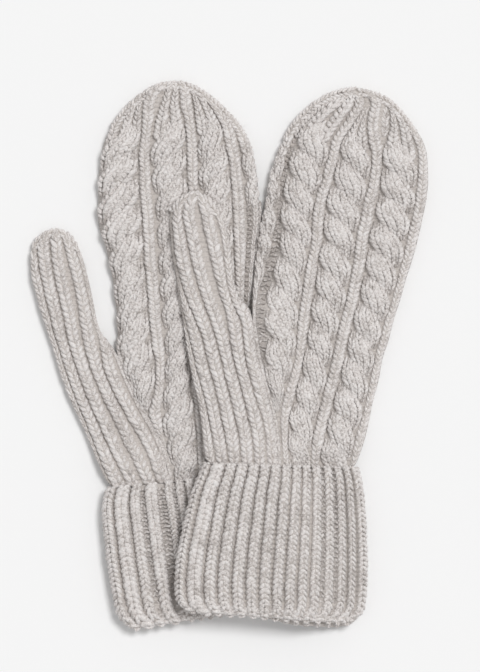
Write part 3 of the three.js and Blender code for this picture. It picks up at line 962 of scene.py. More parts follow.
def shell(
    name: str, outer: np.ndarray, inner: np.ndarray, material: bpy.types.Material
) -> bpy.types.Object:
    """Makes a closed sock-like shell: closed at the first ring, open at the last.

    Args:
        name: Name of the piece.
        outer: Outer rings, as rings by points by three, in mm.
        inner: Inner rings of the same point count.
        material: What the cloth wears.

    Returns:
        The shell's object.
    """
    n = outer.shape[1]
    within = outer.shape[0] * n
    tip = tuple(range(n))
    hollow = [*tube_faces(within, inner.shape[0], n), tuple(within + i for i in tip)]
    faces = [*tube_faces(0, outer.shape[0], n), tip, *(face[::-1] for face in hollow)]
    out, end = within - n, within + (inner.shape[0] - 1) * n
    faces += [(out + i, end + i, end + (i + 1) % n, out + (i + 1) % n) for i in range(n)]
    points = np.concatenate((outer.reshape(-1, 3), inner.reshape(-1, 3)))
    return plain_object(name, points, faces, material)


def plain_object(
    name: str,
    points: np.ndarray,
    faces: list[tuple[int, ...]],
    material: bpy.types.Material,
) -> bpy.types.Object:
    """Makes a smooth-shaded object from points in mm.

    Args:
        name: Name of the piece.
        points: Points in mm.
        faces: Point numbers of each face.
        material: What it wears.

    Returns:
        The linked object.
    """
    mesh = bpy.data.meshes.new(name)
    mesh.from_pydata((points * MILLI).tolist(), [], faces)
    mesh.materials.append(material)
    mesh.polygons.foreach_set("use_smooth", [True] * len(mesh.polygons))
    mesh.update()
    piece = bpy.data.objects.new(name, mesh)
    bpy.context.scene.collection.objects.link(piece)
    return piece


# The pieces


# In photo points.
WIDEST_RIB = 13.6
# Share of a rise over the cloth that is left at the very edge of a tube.
EDGE_RISE = 0.25


@dataclass(frozen=True)
class Strip:
    """One strip of a hand or thumb, between two of its lines.

    A cable strip holds rope strands. Each crosses over its neighbours once a pitch, from one
    side of the strip to the other, and is tucked under them at both of its ends.
    """

    kind: Kind
    notch: float = 0.0
    lean: float = 0.0
    first: float = 0.0
    last: float = 1.0
    pitch: float = 27.0
    reach: float = 1.75
    swing: float = 0.235
    half_width: float = 0.4
    crossing: float = 4.2
    tucked_width: float = 0.62
    tucked_rise: float = 0.03
    rope_rise: float = 3.7
    rib_rise: float = 1.1
    crown: float = 0.0
    crown_columns: int = 2
    until: float = math.inf
    ladder: float = 0.42

    @property
    def shown(self) -> float:
        """Share of the whole cable that the strip shows."""
        return self.last - self.first

    def strand_start(self, lobe: int) -> float:
        """Photo height where a strand begins."""
        middle = self.notch + self.pitch * (lobe + 0.5 - self.lean / 2)
        return middle - self.reach * self.pitch / 2

    def strand_middle(self, t: np.ndarray) -> np.ndarray:
        """Share across the strip of a strand's middle line, where t runs down the strand."""
        return 0.5 - math.copysign(self.swing, self.lean) * np.tanh(self.crossing * (t - 0.5))

    def strand_half(self, t: np.ndarray) -> np.ndarray:
        """Half of a strand's width as a share of the strip, narrower where it is tucked under."""
        return self.half_width * mix(self.tucked_width, 1, np.sin(np.pi * np.clip(t, 0, 1)) ** 2)

    def strand_height(self, t: np.ndarray, v: np.ndarray, width: np.ndarray) -> np.ndarray:
        """Rise of one strand over the flat cloth.

        Args:
            t: Share down the strand.
            v: Place across it, from -1 to 1.
            width: Width of the strip in photo points.

        Returns:
            Rise in mm.
        """
        arch = mix(self.tucked_rise, 1, np.sin(np.pi * np.clip(t, 0, 1)) ** 1.15)
        dome = np.clip(1 - (0.95 * v) ** 2, 0, 1) ** 0.75
        return self.rope_rise * arch * dome * smooth(width / 20)

    def relief(self, p: np.ndarray, y: np.ndarray, width: np.ndarray) -> np.ndarray:
        """Raised shape of the strip over the flat cloth.

        Args:
            p: Share across the strip.
            y: Photo points down.
            width: Width of the strip in photo points.

        Returns:
            Rise in mm.
        """
        if self.kind is Kind.KNIT:
            q = np.clip(p * width / np.minimum(width, WIDEST_RIB), 0, 1)
            return self.rib_rise * np.sin(np.pi * q) * smooth(width / 8)
        if self.kind is Kind.PURL:
            return np.zeros(np.broadcast(p, y).shape)
        share = mix(self.first, self.last, p)
        length = self.reach * self.pitch
        nearest = np.round((y - self.strand_start(0) - length / 2) / self.pitch)
        best = self.plain(p, y, width)
        for step in (-1, 0, 1):
            lobe = nearest + step
            t = (y - self.strand_start(0) - lobe * self.pitch) / length
            v = (share - self.strand_middle(t)) / self.strand_half(t)
            inside = (t > 0) & (t < 1) & (np.abs(v) < 1.05) & (lobe >= self.first_lobe)
            best = np.where(inside, np.maximum(best, self.strand_height(t, v, width)), best)
        column = np.clip((p - self.ladder) / (1 - self.ladder), 0, 1)
        return mix(best, self.rib_rise * np.sin(np.pi * column), smooth((y - self.until + 8) / 16))

    @property
    def first_lobe(self) -> int:
        """The first strand below the plain crown."""
        return math.ceil((self.crown - self.strand_start(0)) / self.pitch)

    def plain(self, p: np.ndarray, y: np.ndarray, width: np.ndarray) -> np.ndarray:
        """Rise of the plain columns that stand above the first strand.

        Args:
            p: Share across the strip.
            y: Photo points down.
            width: Width of the strip in photo points.

        Returns:
            Rise in mm.
        """
        start = self.strand_start(self.first_lobe)
        fade = 1 - smooth((y - start - 16) / 14)
        ribs = np.abs(np.sin(np.pi * p * self.crown_columns))
        return self.rib_rise * ribs * fade * smooth(width / 20)


@dataclass(frozen=True)
class Wrist:
    """Where a cuff holds its mitten's tubes and how their ends run, in photo points."""

    grip: float
    end: float
    slope: float
    span: tuple[float, float]


@dataclass(frozen=True)
class Rim:
    """A column of V stitches that follows the outline of a tip, in photo points."""

    edge: Edge
    inset: float
    stop: float


@dataclass(frozen=True)
class Outline:
    """One side of a tip's outline in photo points, from the middle of its top down."""

    edge: Edge
    x: np.ndarray
    y: np.ndarray
    chord: float = 3.0

    @cached_property
    def run(self) -> np.ndarray:
        """Length of the outline from its top to each of its points."""
        return np.concatenate(([0], np.cumsum(np.hypot(np.diff(self.x), np.diff(self.y)))))

    def at(self, run: np.ndarray) -> np.ndarray:
        """Points of the outline at some lengths from its top."""
        return np.stack([np.interp(run, self.run, line) for line in (self.x, self.y)], -1)

    def beside(self, run: np.ndarray, offset: float) -> tuple[np.ndarray, np.ndarray]:
        """Places beside the outline.

        Args:
            run: Lengths from its top.
            offset: How far inwards.

        Returns:
            Photo points across and down.
        """
        spot = self.at(run)
        along = unit(self.at(run + self.chord) - self.at(run - self.chord))
        inward = -self.edge.value * offset
        return spot[:, 0] + inward * along[:, 1], spot[:, 1] - inward * along[:, 0]


@dataclass
class Hand:
    """A hand or thumb tube: its cloth shell, and its stitches on both faces.

    Tips, crotches, rows and rims are in photo points, and what lies in the cloth is in mm.
    The legs of a rung or a seam are given by their width, thickness and tone; their dark tones are
    painted shade for the ladders and for edges where cloth meets cloth.
    """

    name: str
    mitten: Mitten
    lines: Lines
    strips: tuple[Strip, ...]
    wrist: Wrist
    tip: float
    crotch: float
    hidden_from: float
    flat: tuple[float, float]
    flat_area: float
    joined: Edge = Edge.LEFT
    row_pitch: float = 4.75
    round_off: float = 9.0
    thickness: float = 6.4
    grip_thickness: float = 4.7
    wall: float = 2.3
    edge_radius: float = 4.6
    edge_share: float = 0.45
    under_edge: float = 0.7
    crown: float = 0.4
    groove: float = 0.7
    cuff_thickness: float = 10.8
    cuff_lift: float = 2.7
    half_seam: float = 0.16
    grip_ease: float = 22.0
    join_ease: float = 14.0
    cable_pitch: float = 4.9
    cable_reach: float = 0.8
    leg_reach: float = 0.68
    leg_span: tuple[float, float] = (0.14, 0.465)
    leg_width: float = 0.365
    least_width: float = 3.2
    rim_half: float = 4.6
    spare_column: float = 6.0
    spare_ladder: float = 2.5
    # The negative tones of rungs and seams are painted shade, darkening these legs in the ladders and
    # along joined edges.
    rung: tuple[float, float, float] = (1.3, 1.1, -1.9)
    seam: tuple[float, float, float] = (1.9, 1.7, -0.6)
    rims: tuple[Rim, ...] = ()
    tucked: tuple[float, ...] = ()
    seam_pitch: float = 3.4
    back_column: float = 13.0
    back_reach: float = 0.78
    strip_points: int = 6
    back_points: int = 22
    fibres: int = 1500

    def gripped(self, y: np.ndarray) -> np.ndarray:
        """Share by which the cuff holds the tube thin at a row."""
        return smooth((y - self.wrist.grip) / self.grip_ease)

    def edges(self, y: np.ndarray) -> tuple[np.ndarray, np.ndarray]:
        """Left and right limits of the tube.

        Args:
            y: Photo points down.

        Returns:
            Left and right photo points across.
        """
        lines = self.lines.at(y)
        gap = np.where(np.atleast_1d(y) > self.crotch - 20, self.half_seam / MM, 0)
        left = lines[:, 0] + (gap if self.joined is Edge.LEFT else 0)
        right = lines[:, -1] - (gap if self.joined is Edge.RIGHT else 0)
        return left, right

    def limits(self, number: int, y: np.ndarray | float) -> tuple[np.ndarray, np.ndarray]:
        """Left and right limits of one strip at a row, in photo points across."""
        lines = self.lines.at(y)
        return lines[:, number], lines[:, number + 1]

    def surface(
        self, x: np.ndarray, y: np.ndarray, side: Side, rise: np.ndarray | float
    ) -> np.ndarray:
        """A point of the cloth's face.

        Args:
            x: Photo points across.
            y: Photo points down.
            side: Front or back face.
            rise: Height over the flat face in mm.

        Returns:
            Points in mm.
        """
        left, right = self.edges(y)
        q = np.clip((y - self.tip) / self.round_off, 0.02, 1)
        tip_share = np.sqrt(1 - (1 - q) ** 2)
        grip = self.gripped(y)
        half = mix(self.thickness, self.grip_thickness, grip) * tip_share / 2
        radius = np.minimum(self.edge_radius / MM, (right - left) * self.edge_share)
        if side is Side.BACK:
            radius = radius * self.under_edge
        ql = np.clip((x - left) / radius, 0, 1)
        qr = np.clip((right - x) / radius, 0, 1)
        join = smooth((y - self.crotch) / self.join_ease)
        arc_l, arc_r = np.sqrt(1 - (1 - ql) ** 2), np.sqrt(1 - (1 - qr) ** 2)
        dip = self.groove / np.maximum(half, 0.2)
        if self.joined is Edge.LEFT:
            arc_l = mix(arc_l, 1 - dip * (1 - ql) ** 2, join)
        else:
            arc_r = mix(arc_r, 1 - dip * (1 - qr) ** 2, join)
        arc = np.minimum(arc_l, arc_r)
        share = (x - left) / np.maximum(right - left, 1e-6)
        crown = self.crown * 4 * share * (1 - share) * (1 - grip)
        lift = np.asarray(rise) * (EDGE_RISE + (1 - EDGE_RISE) * arc) * tip_share
        if side is Side.FRONT:
            height = self.centre(grip) + half * arc + lift + crown * tip_share
        else:
            height = self.centre(grip) - half * arc - lift
        return self.place(x, y, height)

    def centre(self, grip: np.ndarray) -> np.ndarray:
        """Height of the tube's middle over its underside where the cuff grips it by a share."""
        return mix(self.thickness, self.cuff_thickness - 2 * self.cuff_lift, grip) / 2

    def place(self, x: np.ndarray, y: np.ndarray, height: np.ndarray) -> np.ndarray:
        """Sets a point of the tube where the mitten lies.

        Args:
            x: Photo points across.
            y: Photo points down, before the end's slope.
            height: Height over the mitten's underside in mm.

        Returns:
            Points in mm.
        """
        tilt = self.wrist.slope * smooth((y - self.wrist.end + 70) / 70)
        row = y + tilt * (x - sum(self.wrist.span) / 2)
        lift = self.cuff_lift * smooth((y - self.wrist.grip + 24) / 36)
        return PHOTO.place(x, row, LAY.height(self.mitten, x, row) + lift + height)

    def strip_point(
        self, number: int, p: np.ndarray, y: np.ndarray, rise: np.ndarray | float
    ) -> np.ndarray:
        """A point over one strip of the front, with the strip's own relief.

        Args:
            number: Which strip.
            p: Share across it.
            y: Photo points down.
            rise: Height over the relief in mm.

        Returns:
            Points in mm.
        """
        p, y = np.broadcast_arrays(np.asarray(p, float), np.asarray(y, float))
        (a, b), (left, right) = self.limits(number, y), self.edges(y)
        a, b = np.maximum(a, left), np.minimum(b, right)
        width = (b - a) / self.strips[number].shown
        relief = self.strips[number].relief(p, y, width) * (1 - self.gripped(y))
        return self.surface(mix(a, b, p), y, Side.FRONT, relief + rise)

    def strip_normal(self, number: int, p: np.ndarray, y: np.ndarray) -> np.ndarray:
        """Direction out of the relief of a strip.

        Args:
            number: Which strip.
            p: Share across it.
            y: Photo points down.

        Returns:
            Unit vectors.
        """
        low, high = np.clip(p - 0.06, 0, 1), np.clip(p + 0.06, 0, 1)
        across = self.strip_point(number, high, y, 0) - self.strip_point(number, low, y, 0)
        down = self.strip_point(number, p, y + 1, 0) - self.strip_point(number, p, y - 1, 0)
        return unit(np.cross(down, across))

    def lay_knit(self, legs: Legs, number: int, rng: np.random.Generator) -> None:
        """Lays the upright V stitches of a knit strip, and what fills its width beside them.

        Args:
            legs: Where the legs are kept.
            number: Which strip.
            rng: Seeded source of the yarn's unevenness.
        """
        y = np.arange(self.tip + 2.5, self.hidden_from, self.row_pitch)
        left, right = self.limits(number, y)
        shown = right - left > self.least_width
        y, width = y[shown], (right - left)[shown]
        knit = np.minimum(width, WIDEST_RIB) / width
        self.lay_column(legs, number, np.zeros(len(y)), knit, y)
        spare = width - WIDEST_RIB
        room = spare > self.spare_column
        if room.any():
            self.lay_column(legs, number, knit[room], np.ones(room.sum()), y[room])
        wide = (spare > self.spare_ladder) & ~room
        if wide.any():
            self.lay_purl(legs, number, y[wide], (knit[wide], np.ones(wide.sum())), rng)

    def lay_column(
        self, legs: Legs, number: int, first: np.ndarray, last: np.ndarray, y: np.ndarray
    ) -> None:
        """Lays one column of V stitches between two shares of a strip.

        Args:
            legs: Where the legs are kept.
            number: Which strip.
            first: Share of the strip at the column's left, for each row.
            last: Share at its right.
            y: Rows in photo points.
        """
        left, right = self.limits(number, y)
        width = (right - left) * (last - first)
        middle_x = mix(left, right, (first + last) / 2)
        keep = (width > self.least_width) & self.inside(middle_x, y)
        if not keep.any():
            return
        y, width, first, last = y[keep], width[keep], first[keep], last[keep]
        reach = self.row_pitch * self.leg_reach
        for low, high in (self.leg_span, tuple(1 - s for s in self.leg_span)):
            top, foot = mix(first, last, low), mix(first, last, high)
            start = self.strip_point(number, top, y - reach, -1.25)
            end = self.strip_point(number, foot, y + reach, -0.45)
            normal = self.strip_normal(number, (top + foot) / 2, y)
            thick = width * self.leg_width * MM
            legs.lay(start, end, normal, thick, thick * 1.15)

    def inside(self, x: np.ndarray, y: np.ndarray) -> np.ndarray:
        """Tells which places lie clear of the columns that run round the tip's outline.

        Args:
            x: Photo points across.
            y: Photo points down.

        Returns:
            True where a place is clear of them.
        """
        left, right = self.edges(y)
        lower_left, lower_right = self.edges(y + 1)
        clear = np.ones(len(y), bool)
        for rim in self.rims:
            at_left = rim.edge is Edge.LEFT
            edge, lower = (left, lower_left) if at_left else (right, lower_right)
            gap = np.abs(x - edge) / np.hypot(1, lower - edge)
            clear &= (gap > rim.inset + 1.4) | (y > rim.stop)
        return clear

    def outline(self, edge: Edge, stop: float) -> Outline:
        """One side of the tip's outline.

        Args:
            edge: Which side.
            stop: Photo height where it ends.

        Returns:
            The outline.
        """
        near = self.tip + 0.3 + np.linspace(0, 2, 40) ** 2
        y = np.unique(np.concatenate((near, np.linspace(self.tip + 5, stop, 400))))
        left, right = self.edges(y)
        x = left if edge is Edge.LEFT else right
        top = (left[0] + right[0]) / 2
        return Outline(edge, np.concatenate(([top], x)), np.concatenate(([y[0]], y)))

    def rim_point(
        self, outline: Outline, run: np.ndarray, offset: float, rise: float
    ) -> np.ndarray:
        """A point of the front beside the tip's outline, in mm, offset inwards and raised."""
        return self.surface(*outline.beside(run, offset), Side.FRONT, rise)

    def lay_rim(self, legs: Legs, rim: Rim) -> None:
        """Lays a column of V stitches that follows the outline of the tip.

        Args:
            legs: Where the legs are kept.
            rim: The column.
        """
        line, half = self.outline(rim.edge, rim.stop), self.rim_half
        stops = np.arange(2.0, line.run[-1], self.row_pitch)
        reach = self.row_pitch * self.leg_reach
        thick = 2 * half * 0.36 * MM
        for low, high in ((-0.85, -0.1), (0.85, 0.1)):
            start = self.rim_point(line, stops - reach, rim.inset + low * half, -0.9)
            end = self.rim_point(line, stops + reach, rim.inset + high * half, -0.3)
            v = rim.inset + (low + high) / 2 * half
            across = self.rim_point(line, stops, v + 1, 0) - self.rim_point(line, stops, v - 1, 0)
            down = self.rim_point(line, stops + 1, v, 0) - self.rim_point(line, stops - 1, v, 0)
            normal = unit(np.cross(down, across))
            normal = normal * np.where(normal[:, 2:] < 0, -1, 1)
            legs.lay(start, end, normal, thick, thick * 1.1)

    def lay_purl(
        self,
        legs: Legs,
        number: int,
        y: np.ndarray,
        span: tuple[np.ndarray, np.ndarray],
        rng: np.random.Generator,
    ) -> None:
        """Lays the uneven rungs of an open purl ladder, two short legs to a row.

        Args:
            legs: Where the legs are kept.
            number: Which strip.
            y: Rows in photo points.
            span: Shares of the strip where the ladder starts and ends, for each row.
            rng: Seeded source of the yarn's unevenness.
        """
        first, last = span
        middle = (first + last) / 2
        rungs = ((first - 0.08, middle + 0.08, 0.9), (middle - 0.08, last + 0.08, -0.9))
        for low, high, lean in rungs:
            row = y + rng.normal(0, 0.6, len(y))
            slant = lean + rng.normal(0, 0.9, len(y))
            rise = rng.uniform(-2.0, -1.3, len(y))
            start = self.strip_point(number, np.clip(low, 0, 1), row + slant, rise)
            end = self.strip_point(number, np.clip(high, 0, 1), row - slant, rise)
            normal = self.strip_normal(number, (low + high) / 2, y)
            # The rungs wear the dark rung tone: painted shade in the ladder.
            legs.lay(start, end, normal, *self.rung)

    def lay_cable(self, legs: Legs, number: int, rng: np.random.Generator) -> None:
        """Lays the stitches of a rope cable, strand by strand, and what is above and below.

        Args:
            legs: Where the legs are kept.
            number: Which strip.
            rng: Seeded source of the yarn's unevenness.
        """
        strip = self.strips[number]
        last = math.ceil((self.hidden_from - strip.strand_start(0)) / strip.pitch)
        for lobe in range(strip.first_lobe, last + 1):
            for middle in (-0.64, 0.0, 0.64):
                for head, foot in ((-0.32, -0.05), (0.32, 0.05)):
                    self.lay_strand(legs, number, lobe, middle + head, middle + foot)
        y = np.arange(self.tip + 3, strip.strand_start(strip.first_lobe) + 30, self.row_pitch)
        left, right = self.limits(number, y)
        width = (right - left) / strip.crown_columns
        slack = (1 - np.minimum(1, (WIDEST_RIB + 2) / np.maximum(width, 1))) / 2
        for column in range(strip.crown_columns):
            first, last = ((column + k) / strip.crown_columns for k in (slack, 1 - slack))
            middle = (first + last) / 2
            own = strip.plain(middle, y, width * strip.crown_columns)
            free = strip.relief(middle, y, width * strip.crown_columns) - own < 0.4
            if free.any():
                self.lay_column(legs, number, first[free], last[free], y[free])
        if math.isfinite(strip.until):
            y = np.arange(strip.until, self.hidden_from, self.row_pitch)
            edge, ends = np.full(len(y), strip.ladder), np.ones(len(y))
            self.lay_column(legs, number, edge, ends, y)
            self.lay_purl(legs, number, y, (0 * ends, edge), rng)

    def lay_strand(self, legs: Legs, number: int, lobe: int, head: float, foot: float) -> None:
        """Lays one line of legs down a strand.

        Args:
            legs: Where the legs are kept.
            number: Which strip.
            lobe: Which strand, counted from the strip's notch.
            head: Place of each leg's upper end across the strand, from -1 to 1.
            foot: Place of its lower end.
        """
        strip = self.strips[number]
        fine = np.linspace(0, 1, 61)
        y = strip.strand_start(lobe) + fine * strip.reach * strip.pitch
        left, right = self.limits(number, y)
        width = (right - left) / strip.shown
        step = np.hypot(np.diff(strip.strand_middle(fine) * width), np.diff(y))
        run = np.concatenate(([0], np.cumsum(step)))
        stops = np.arange(self.cable_pitch / 2, run[-1], self.cable_pitch)
        t, y, width = (np.interp(stops, run, line) for line in (fine, y, width))
        left, right = self.limits(number, y)
        v = (head + foot) / 2
        share = strip.strand_middle(t) + v * strip.strand_half(t)
        over = (share - strip.first) / strip.shown
        own = strip.strand_height(t, np.array(v), width)
        keep = strip.relief(np.clip(over, 0, 1), y, width) - own < 0.5
        keep &= (over > -0.04) & (over < 1.04) & (width > 7)
        keep &= (y > self.tip + 4) & (y < min(self.hidden_from, strip.until))
        keep &= self.inside(mix(left, right, over), y)
        if not keep.any():
            return
        t, width, stops = t[keep], width[keep], stops[keep]
        reach = self.cable_reach * self.cable_pitch
        before, after = np.interp(stops - reach, run, fine), np.interp(stops + reach, run, fine)
        outward = (strip.strand_middle(t) - 0.5) * v > 0.05
        tail = outward * smooth((np.abs(t - 0.5) - 0.24) / 0.14)
        start = self.strand_point(number, lobe, before, head, width, -0.8 - 0.45 * tail)
        end = self.strand_point(number, lobe, after, foot, width, -0.3 - 0.55 * tail)
        normal = self.strand_normal(number, lobe, t, v, width)
        thick = width * strip.strand_half(t) * 0.35 * MM
        # Legs near the tucked ends of a strand sink lower and get a darker tone: painted shade in the
        # crease.
        legs.lay(start, end, normal, thick, thick * 0.95, -1.2 * tail)

    def strand_point(
        self,
        number: int,
        lobe: int,
        t: np.ndarray,
        v: float,
        width: np.ndarray,
        rise: np.ndarray | float,
    ) -> np.ndarray:
        """A point over one strand of a cable.

        Args:
            number: Which strip.
            lobe: Which strand.
            t: Share down the strand.
            v: Place across it, from -1 to 1.
            width: Width of the whole cable in photo points.
            rise: Height over the strand in mm.

        Returns:
            Points in mm.
        """
        strip = self.strips[number]
        y = strip.strand_start(lobe) + t * strip.reach * strip.pitch
        share = strip.strand_middle(t) + v * strip.strand_half(t)
        (a, b), (left, right) = self.limits(number, y), self.edges(y)
        x = mix(a, b, (share - strip.first) / strip.shown)
        height = strip.strand_height(t, np.array(v), width) * (1 - self.gripped(y))
        return self.surface(np.clip(x, left, right), y, Side.FRONT, height + rise)

    def strand_normal(
        self, number: int, lobe: int, t: np.ndarray, v: float, width: np.ndarray
    ) -> np.ndarray:
        """Direction out of one strand of a cable.

        Args:
            number: Which strip.
            lobe: Which strand.
            t: Share down the strand.
            v: Place across it, from -1 to 1.
            width: Width of the whole cable in photo points.

        Returns:
            Unit vectors.
        """
        side = self.strand_point(number, lobe, t, v + 0.15, width, 0)
        side = side - self.strand_point(number, lobe, t, v - 0.15, width, 0)
        down = self.strand_point(number, lobe, t + 0.02, v, width, 0)
        down = down - self.strand_point(number, lobe, t - 0.02, v, width, 0)
        return unit(np.cross(down, side))

    def front_legs(self, rng: np.random.Generator) -> Legs:
        """Every stitch of the front.

        Args:
            rng: Seeded source of the yarn's unevenness.

        Returns:
            The legs.
        """
        legs = Legs()
        for number, strip in enumerate(self.strips):
            if strip.kind is Kind.CABLE:
                self.lay_cable(legs, number, rng)
            elif strip.kind is Kind.KNIT:
                self.lay_knit(legs, number, rng)
            else:
                y = np.arange(self.tip + 6, self.hidden_from, self.row_pitch)
                left, right = self.limits(number, y)
                y = y[right - left > 3]
                self.lay_purl(legs, number, y, (np.zeros(len(y)), np.ones(len(y))), rng)
        for rim in self.rims:
            self.lay_rim(legs, rim)
        self.lay_edge(legs, self.joined, self.crotch - 6, self.hidden_from, 1.2)
        if self.tucked:
            self.lay_edge(legs, Edge.RIGHT, *self.tucked, -1.1)
        return legs

    def lay_edge(self, legs: Legs, edge: Edge, first: float, last: float, inset: float) -> None:
        """Lays a line of stitches along an edge that meets other cloth.

        Args:
            legs: Where the legs are kept.
            edge: Which edge.
            first: Photo height where the line starts.
            last: Photo height where it ends.
            inset: Photo points from the edge to the line, inwards.
        """
        y, reach = np.arange(first, last, self.seam_pitch), self.seam_pitch
        side = 0 if edge is Edge.LEFT else 1
        upper, lower = self.edges(y - reach)[side], self.edges(y + reach)[side]
        nudge = -edge.value * inset
        start = self.surface(upper + nudge, y - reach, Side.FRONT, -0.7)
        end = self.surface(lower + nudge, y + reach, Side.FRONT, -0.4)
        # The seam legs wear the dark seam tone: painted shade where this edge meets other cloth.
        legs.lay(start, end, UP, *self.seam)

    def back_legs(self) -> Legs:
        """Plain stitches of the underside, pressed flat.

        Returns:
            The legs.
        """
        legs = Legs()
        y = np.arange(self.tip + 7, self.hidden_from, self.row_pitch)
        left, right = self.edges(y)
        left, right = left + 2.5, right - 2.5
        columns = max(3, round(float((right - left).max()) / self.back_column))
        reach = self.row_pitch * self.back_reach
        thick = (right - left) / columns * 0.48 * MM
        for column in range(columns):
            for low, high in ((0.1, 0.44), (0.9, 0.56)):
                top, foot = (column + low) / columns, (column + high) / columns
                start = self.surface(mix(left, right, top), y - reach, Side.BACK, -0.8)
                end = self.surface(mix(left, right, foot), y + reach, Side.BACK, -0.7)
                out = self.surface(mix(left, right, foot), y, Side.BACK, 1.0)
                within = self.surface(mix(left, right, foot), y, Side.BACK, 0.0)
                legs.lay(start, end, unit(out - within), thick, 1.2)
        return legs

    def cloth(self, ground: bpy.types.Material) -> bpy.types.Object:
        """Makes the shell under the stitches.

        Args:
            ground: What it wears.

        Returns:
            The shell's object.
        """
        ease = (np.arange(6) + 0.5) / 6 * (math.pi / 2)
        top, end = self.tip + self.round_off, self.wrist.end
        tip_rows = self.tip + self.round_off * (1 - np.cos(ease))
        rows = np.concatenate((tip_rows, np.linspace(top, end, 120)))
        outer = np.stack([self.ring(y) for y in rows])
        inner_rows = np.linspace(self.tip + self.wall / MM + 2, end, 24)
        inner = np.stack([self.inner_ring(y) for y in inner_rows])
        return shell(self.name, outer, inner, ground)

    def ring(self, y: float) -> np.ndarray:
        """One outer ring: over the front, then back along the underside.

        Args:
            y: Photo points down.

        Returns:
            The ring's points in mm.
        """
        n = self.strip_points
        p = np.arange(n) / n
        front = [
            self.strip_point(number, p, np.full(n, y), -self.sunk(number, p, y))
            for number in range(len(self.strips))
        ]
        left, right = (float(v[0]) for v in self.edges(np.array([y])))
        x = mix(left, right, np.linspace(1, 0, self.back_points))
        under = self.surface(x, np.full(self.back_points, y), Side.BACK, -0.8)
        return np.concatenate((*front, under[:-1]))

    def sunk(self, number: int, p: np.ndarray, y: float) -> np.ndarray:
        """How far the shell lies under a strip's stitches.

        Args:
            number: Which strip.
            p: Shares across it.
            y: Photo points down.

        Returns:
            Depths in mm.
        """
        strip = self.strips[number]
        gutter = 1 - np.sin(np.pi * p)
        if strip.kind is Kind.KNIT:
            return 0.3 + 0.75 * gutter
        if strip.kind is Kind.PURL:
            left, right = self.limits(number, y)
            return 0.9 + 1.5 * smooth((right - left) / 7) + 0 * p
        below = smooth((y - strip.until) / 8)
        return 0.85 + 0.4 * gutter + 1.5 * below * (p < strip.ladder)

    def inner_ring(self, y: float) -> np.ndarray:
        """One ring of the hollow, with as many points as the outer rings.

        Args:
            y: Photo points down.

        Returns:
            The ring's points in mm.
        """
        left, right = (float(v[0]) for v in self.edges(np.array([y])))
        inset = min(self.wall / MM * 1.3, (right - left) * 0.3)
        over = self.strip_points * len(self.strips)
        share = np.concatenate((np.arange(over) / over, np.linspace(1, 0, self.back_points)[:-1]))
        x = mix(left + inset, right - inset, share)
        up = np.where(np.arange(len(share)) < over, 1, -1)
        ends = np.minimum(1, np.minimum(share, 1 - share) * 8 + 0.1)
        height = self.centre(self.gripped(np.array([y]))) + 0.4 * up * ends
        return self.place(x, np.full(len(share), y), height)

    def build(self, wool: Wool, rests_on: list[str]) -> list[bpy.types.Object]:
        """Builds and dresses the tube and its stitches.

        Args:
            wool: The shared materials and yarn tree.
            rests_on: Names of what it lies on; not used.

        Returns:
            The tube's pieces.
        """
        rng = np.random.default_rng(SEED + len(self.name) + int(self.tip))
        cloth = self.cloth(wool.ground)
        pieces = dress(cloth, (self.front_legs(rng), self.back_legs()), self.fibres, wool, rng)
        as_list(pieces[1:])
        return pieces


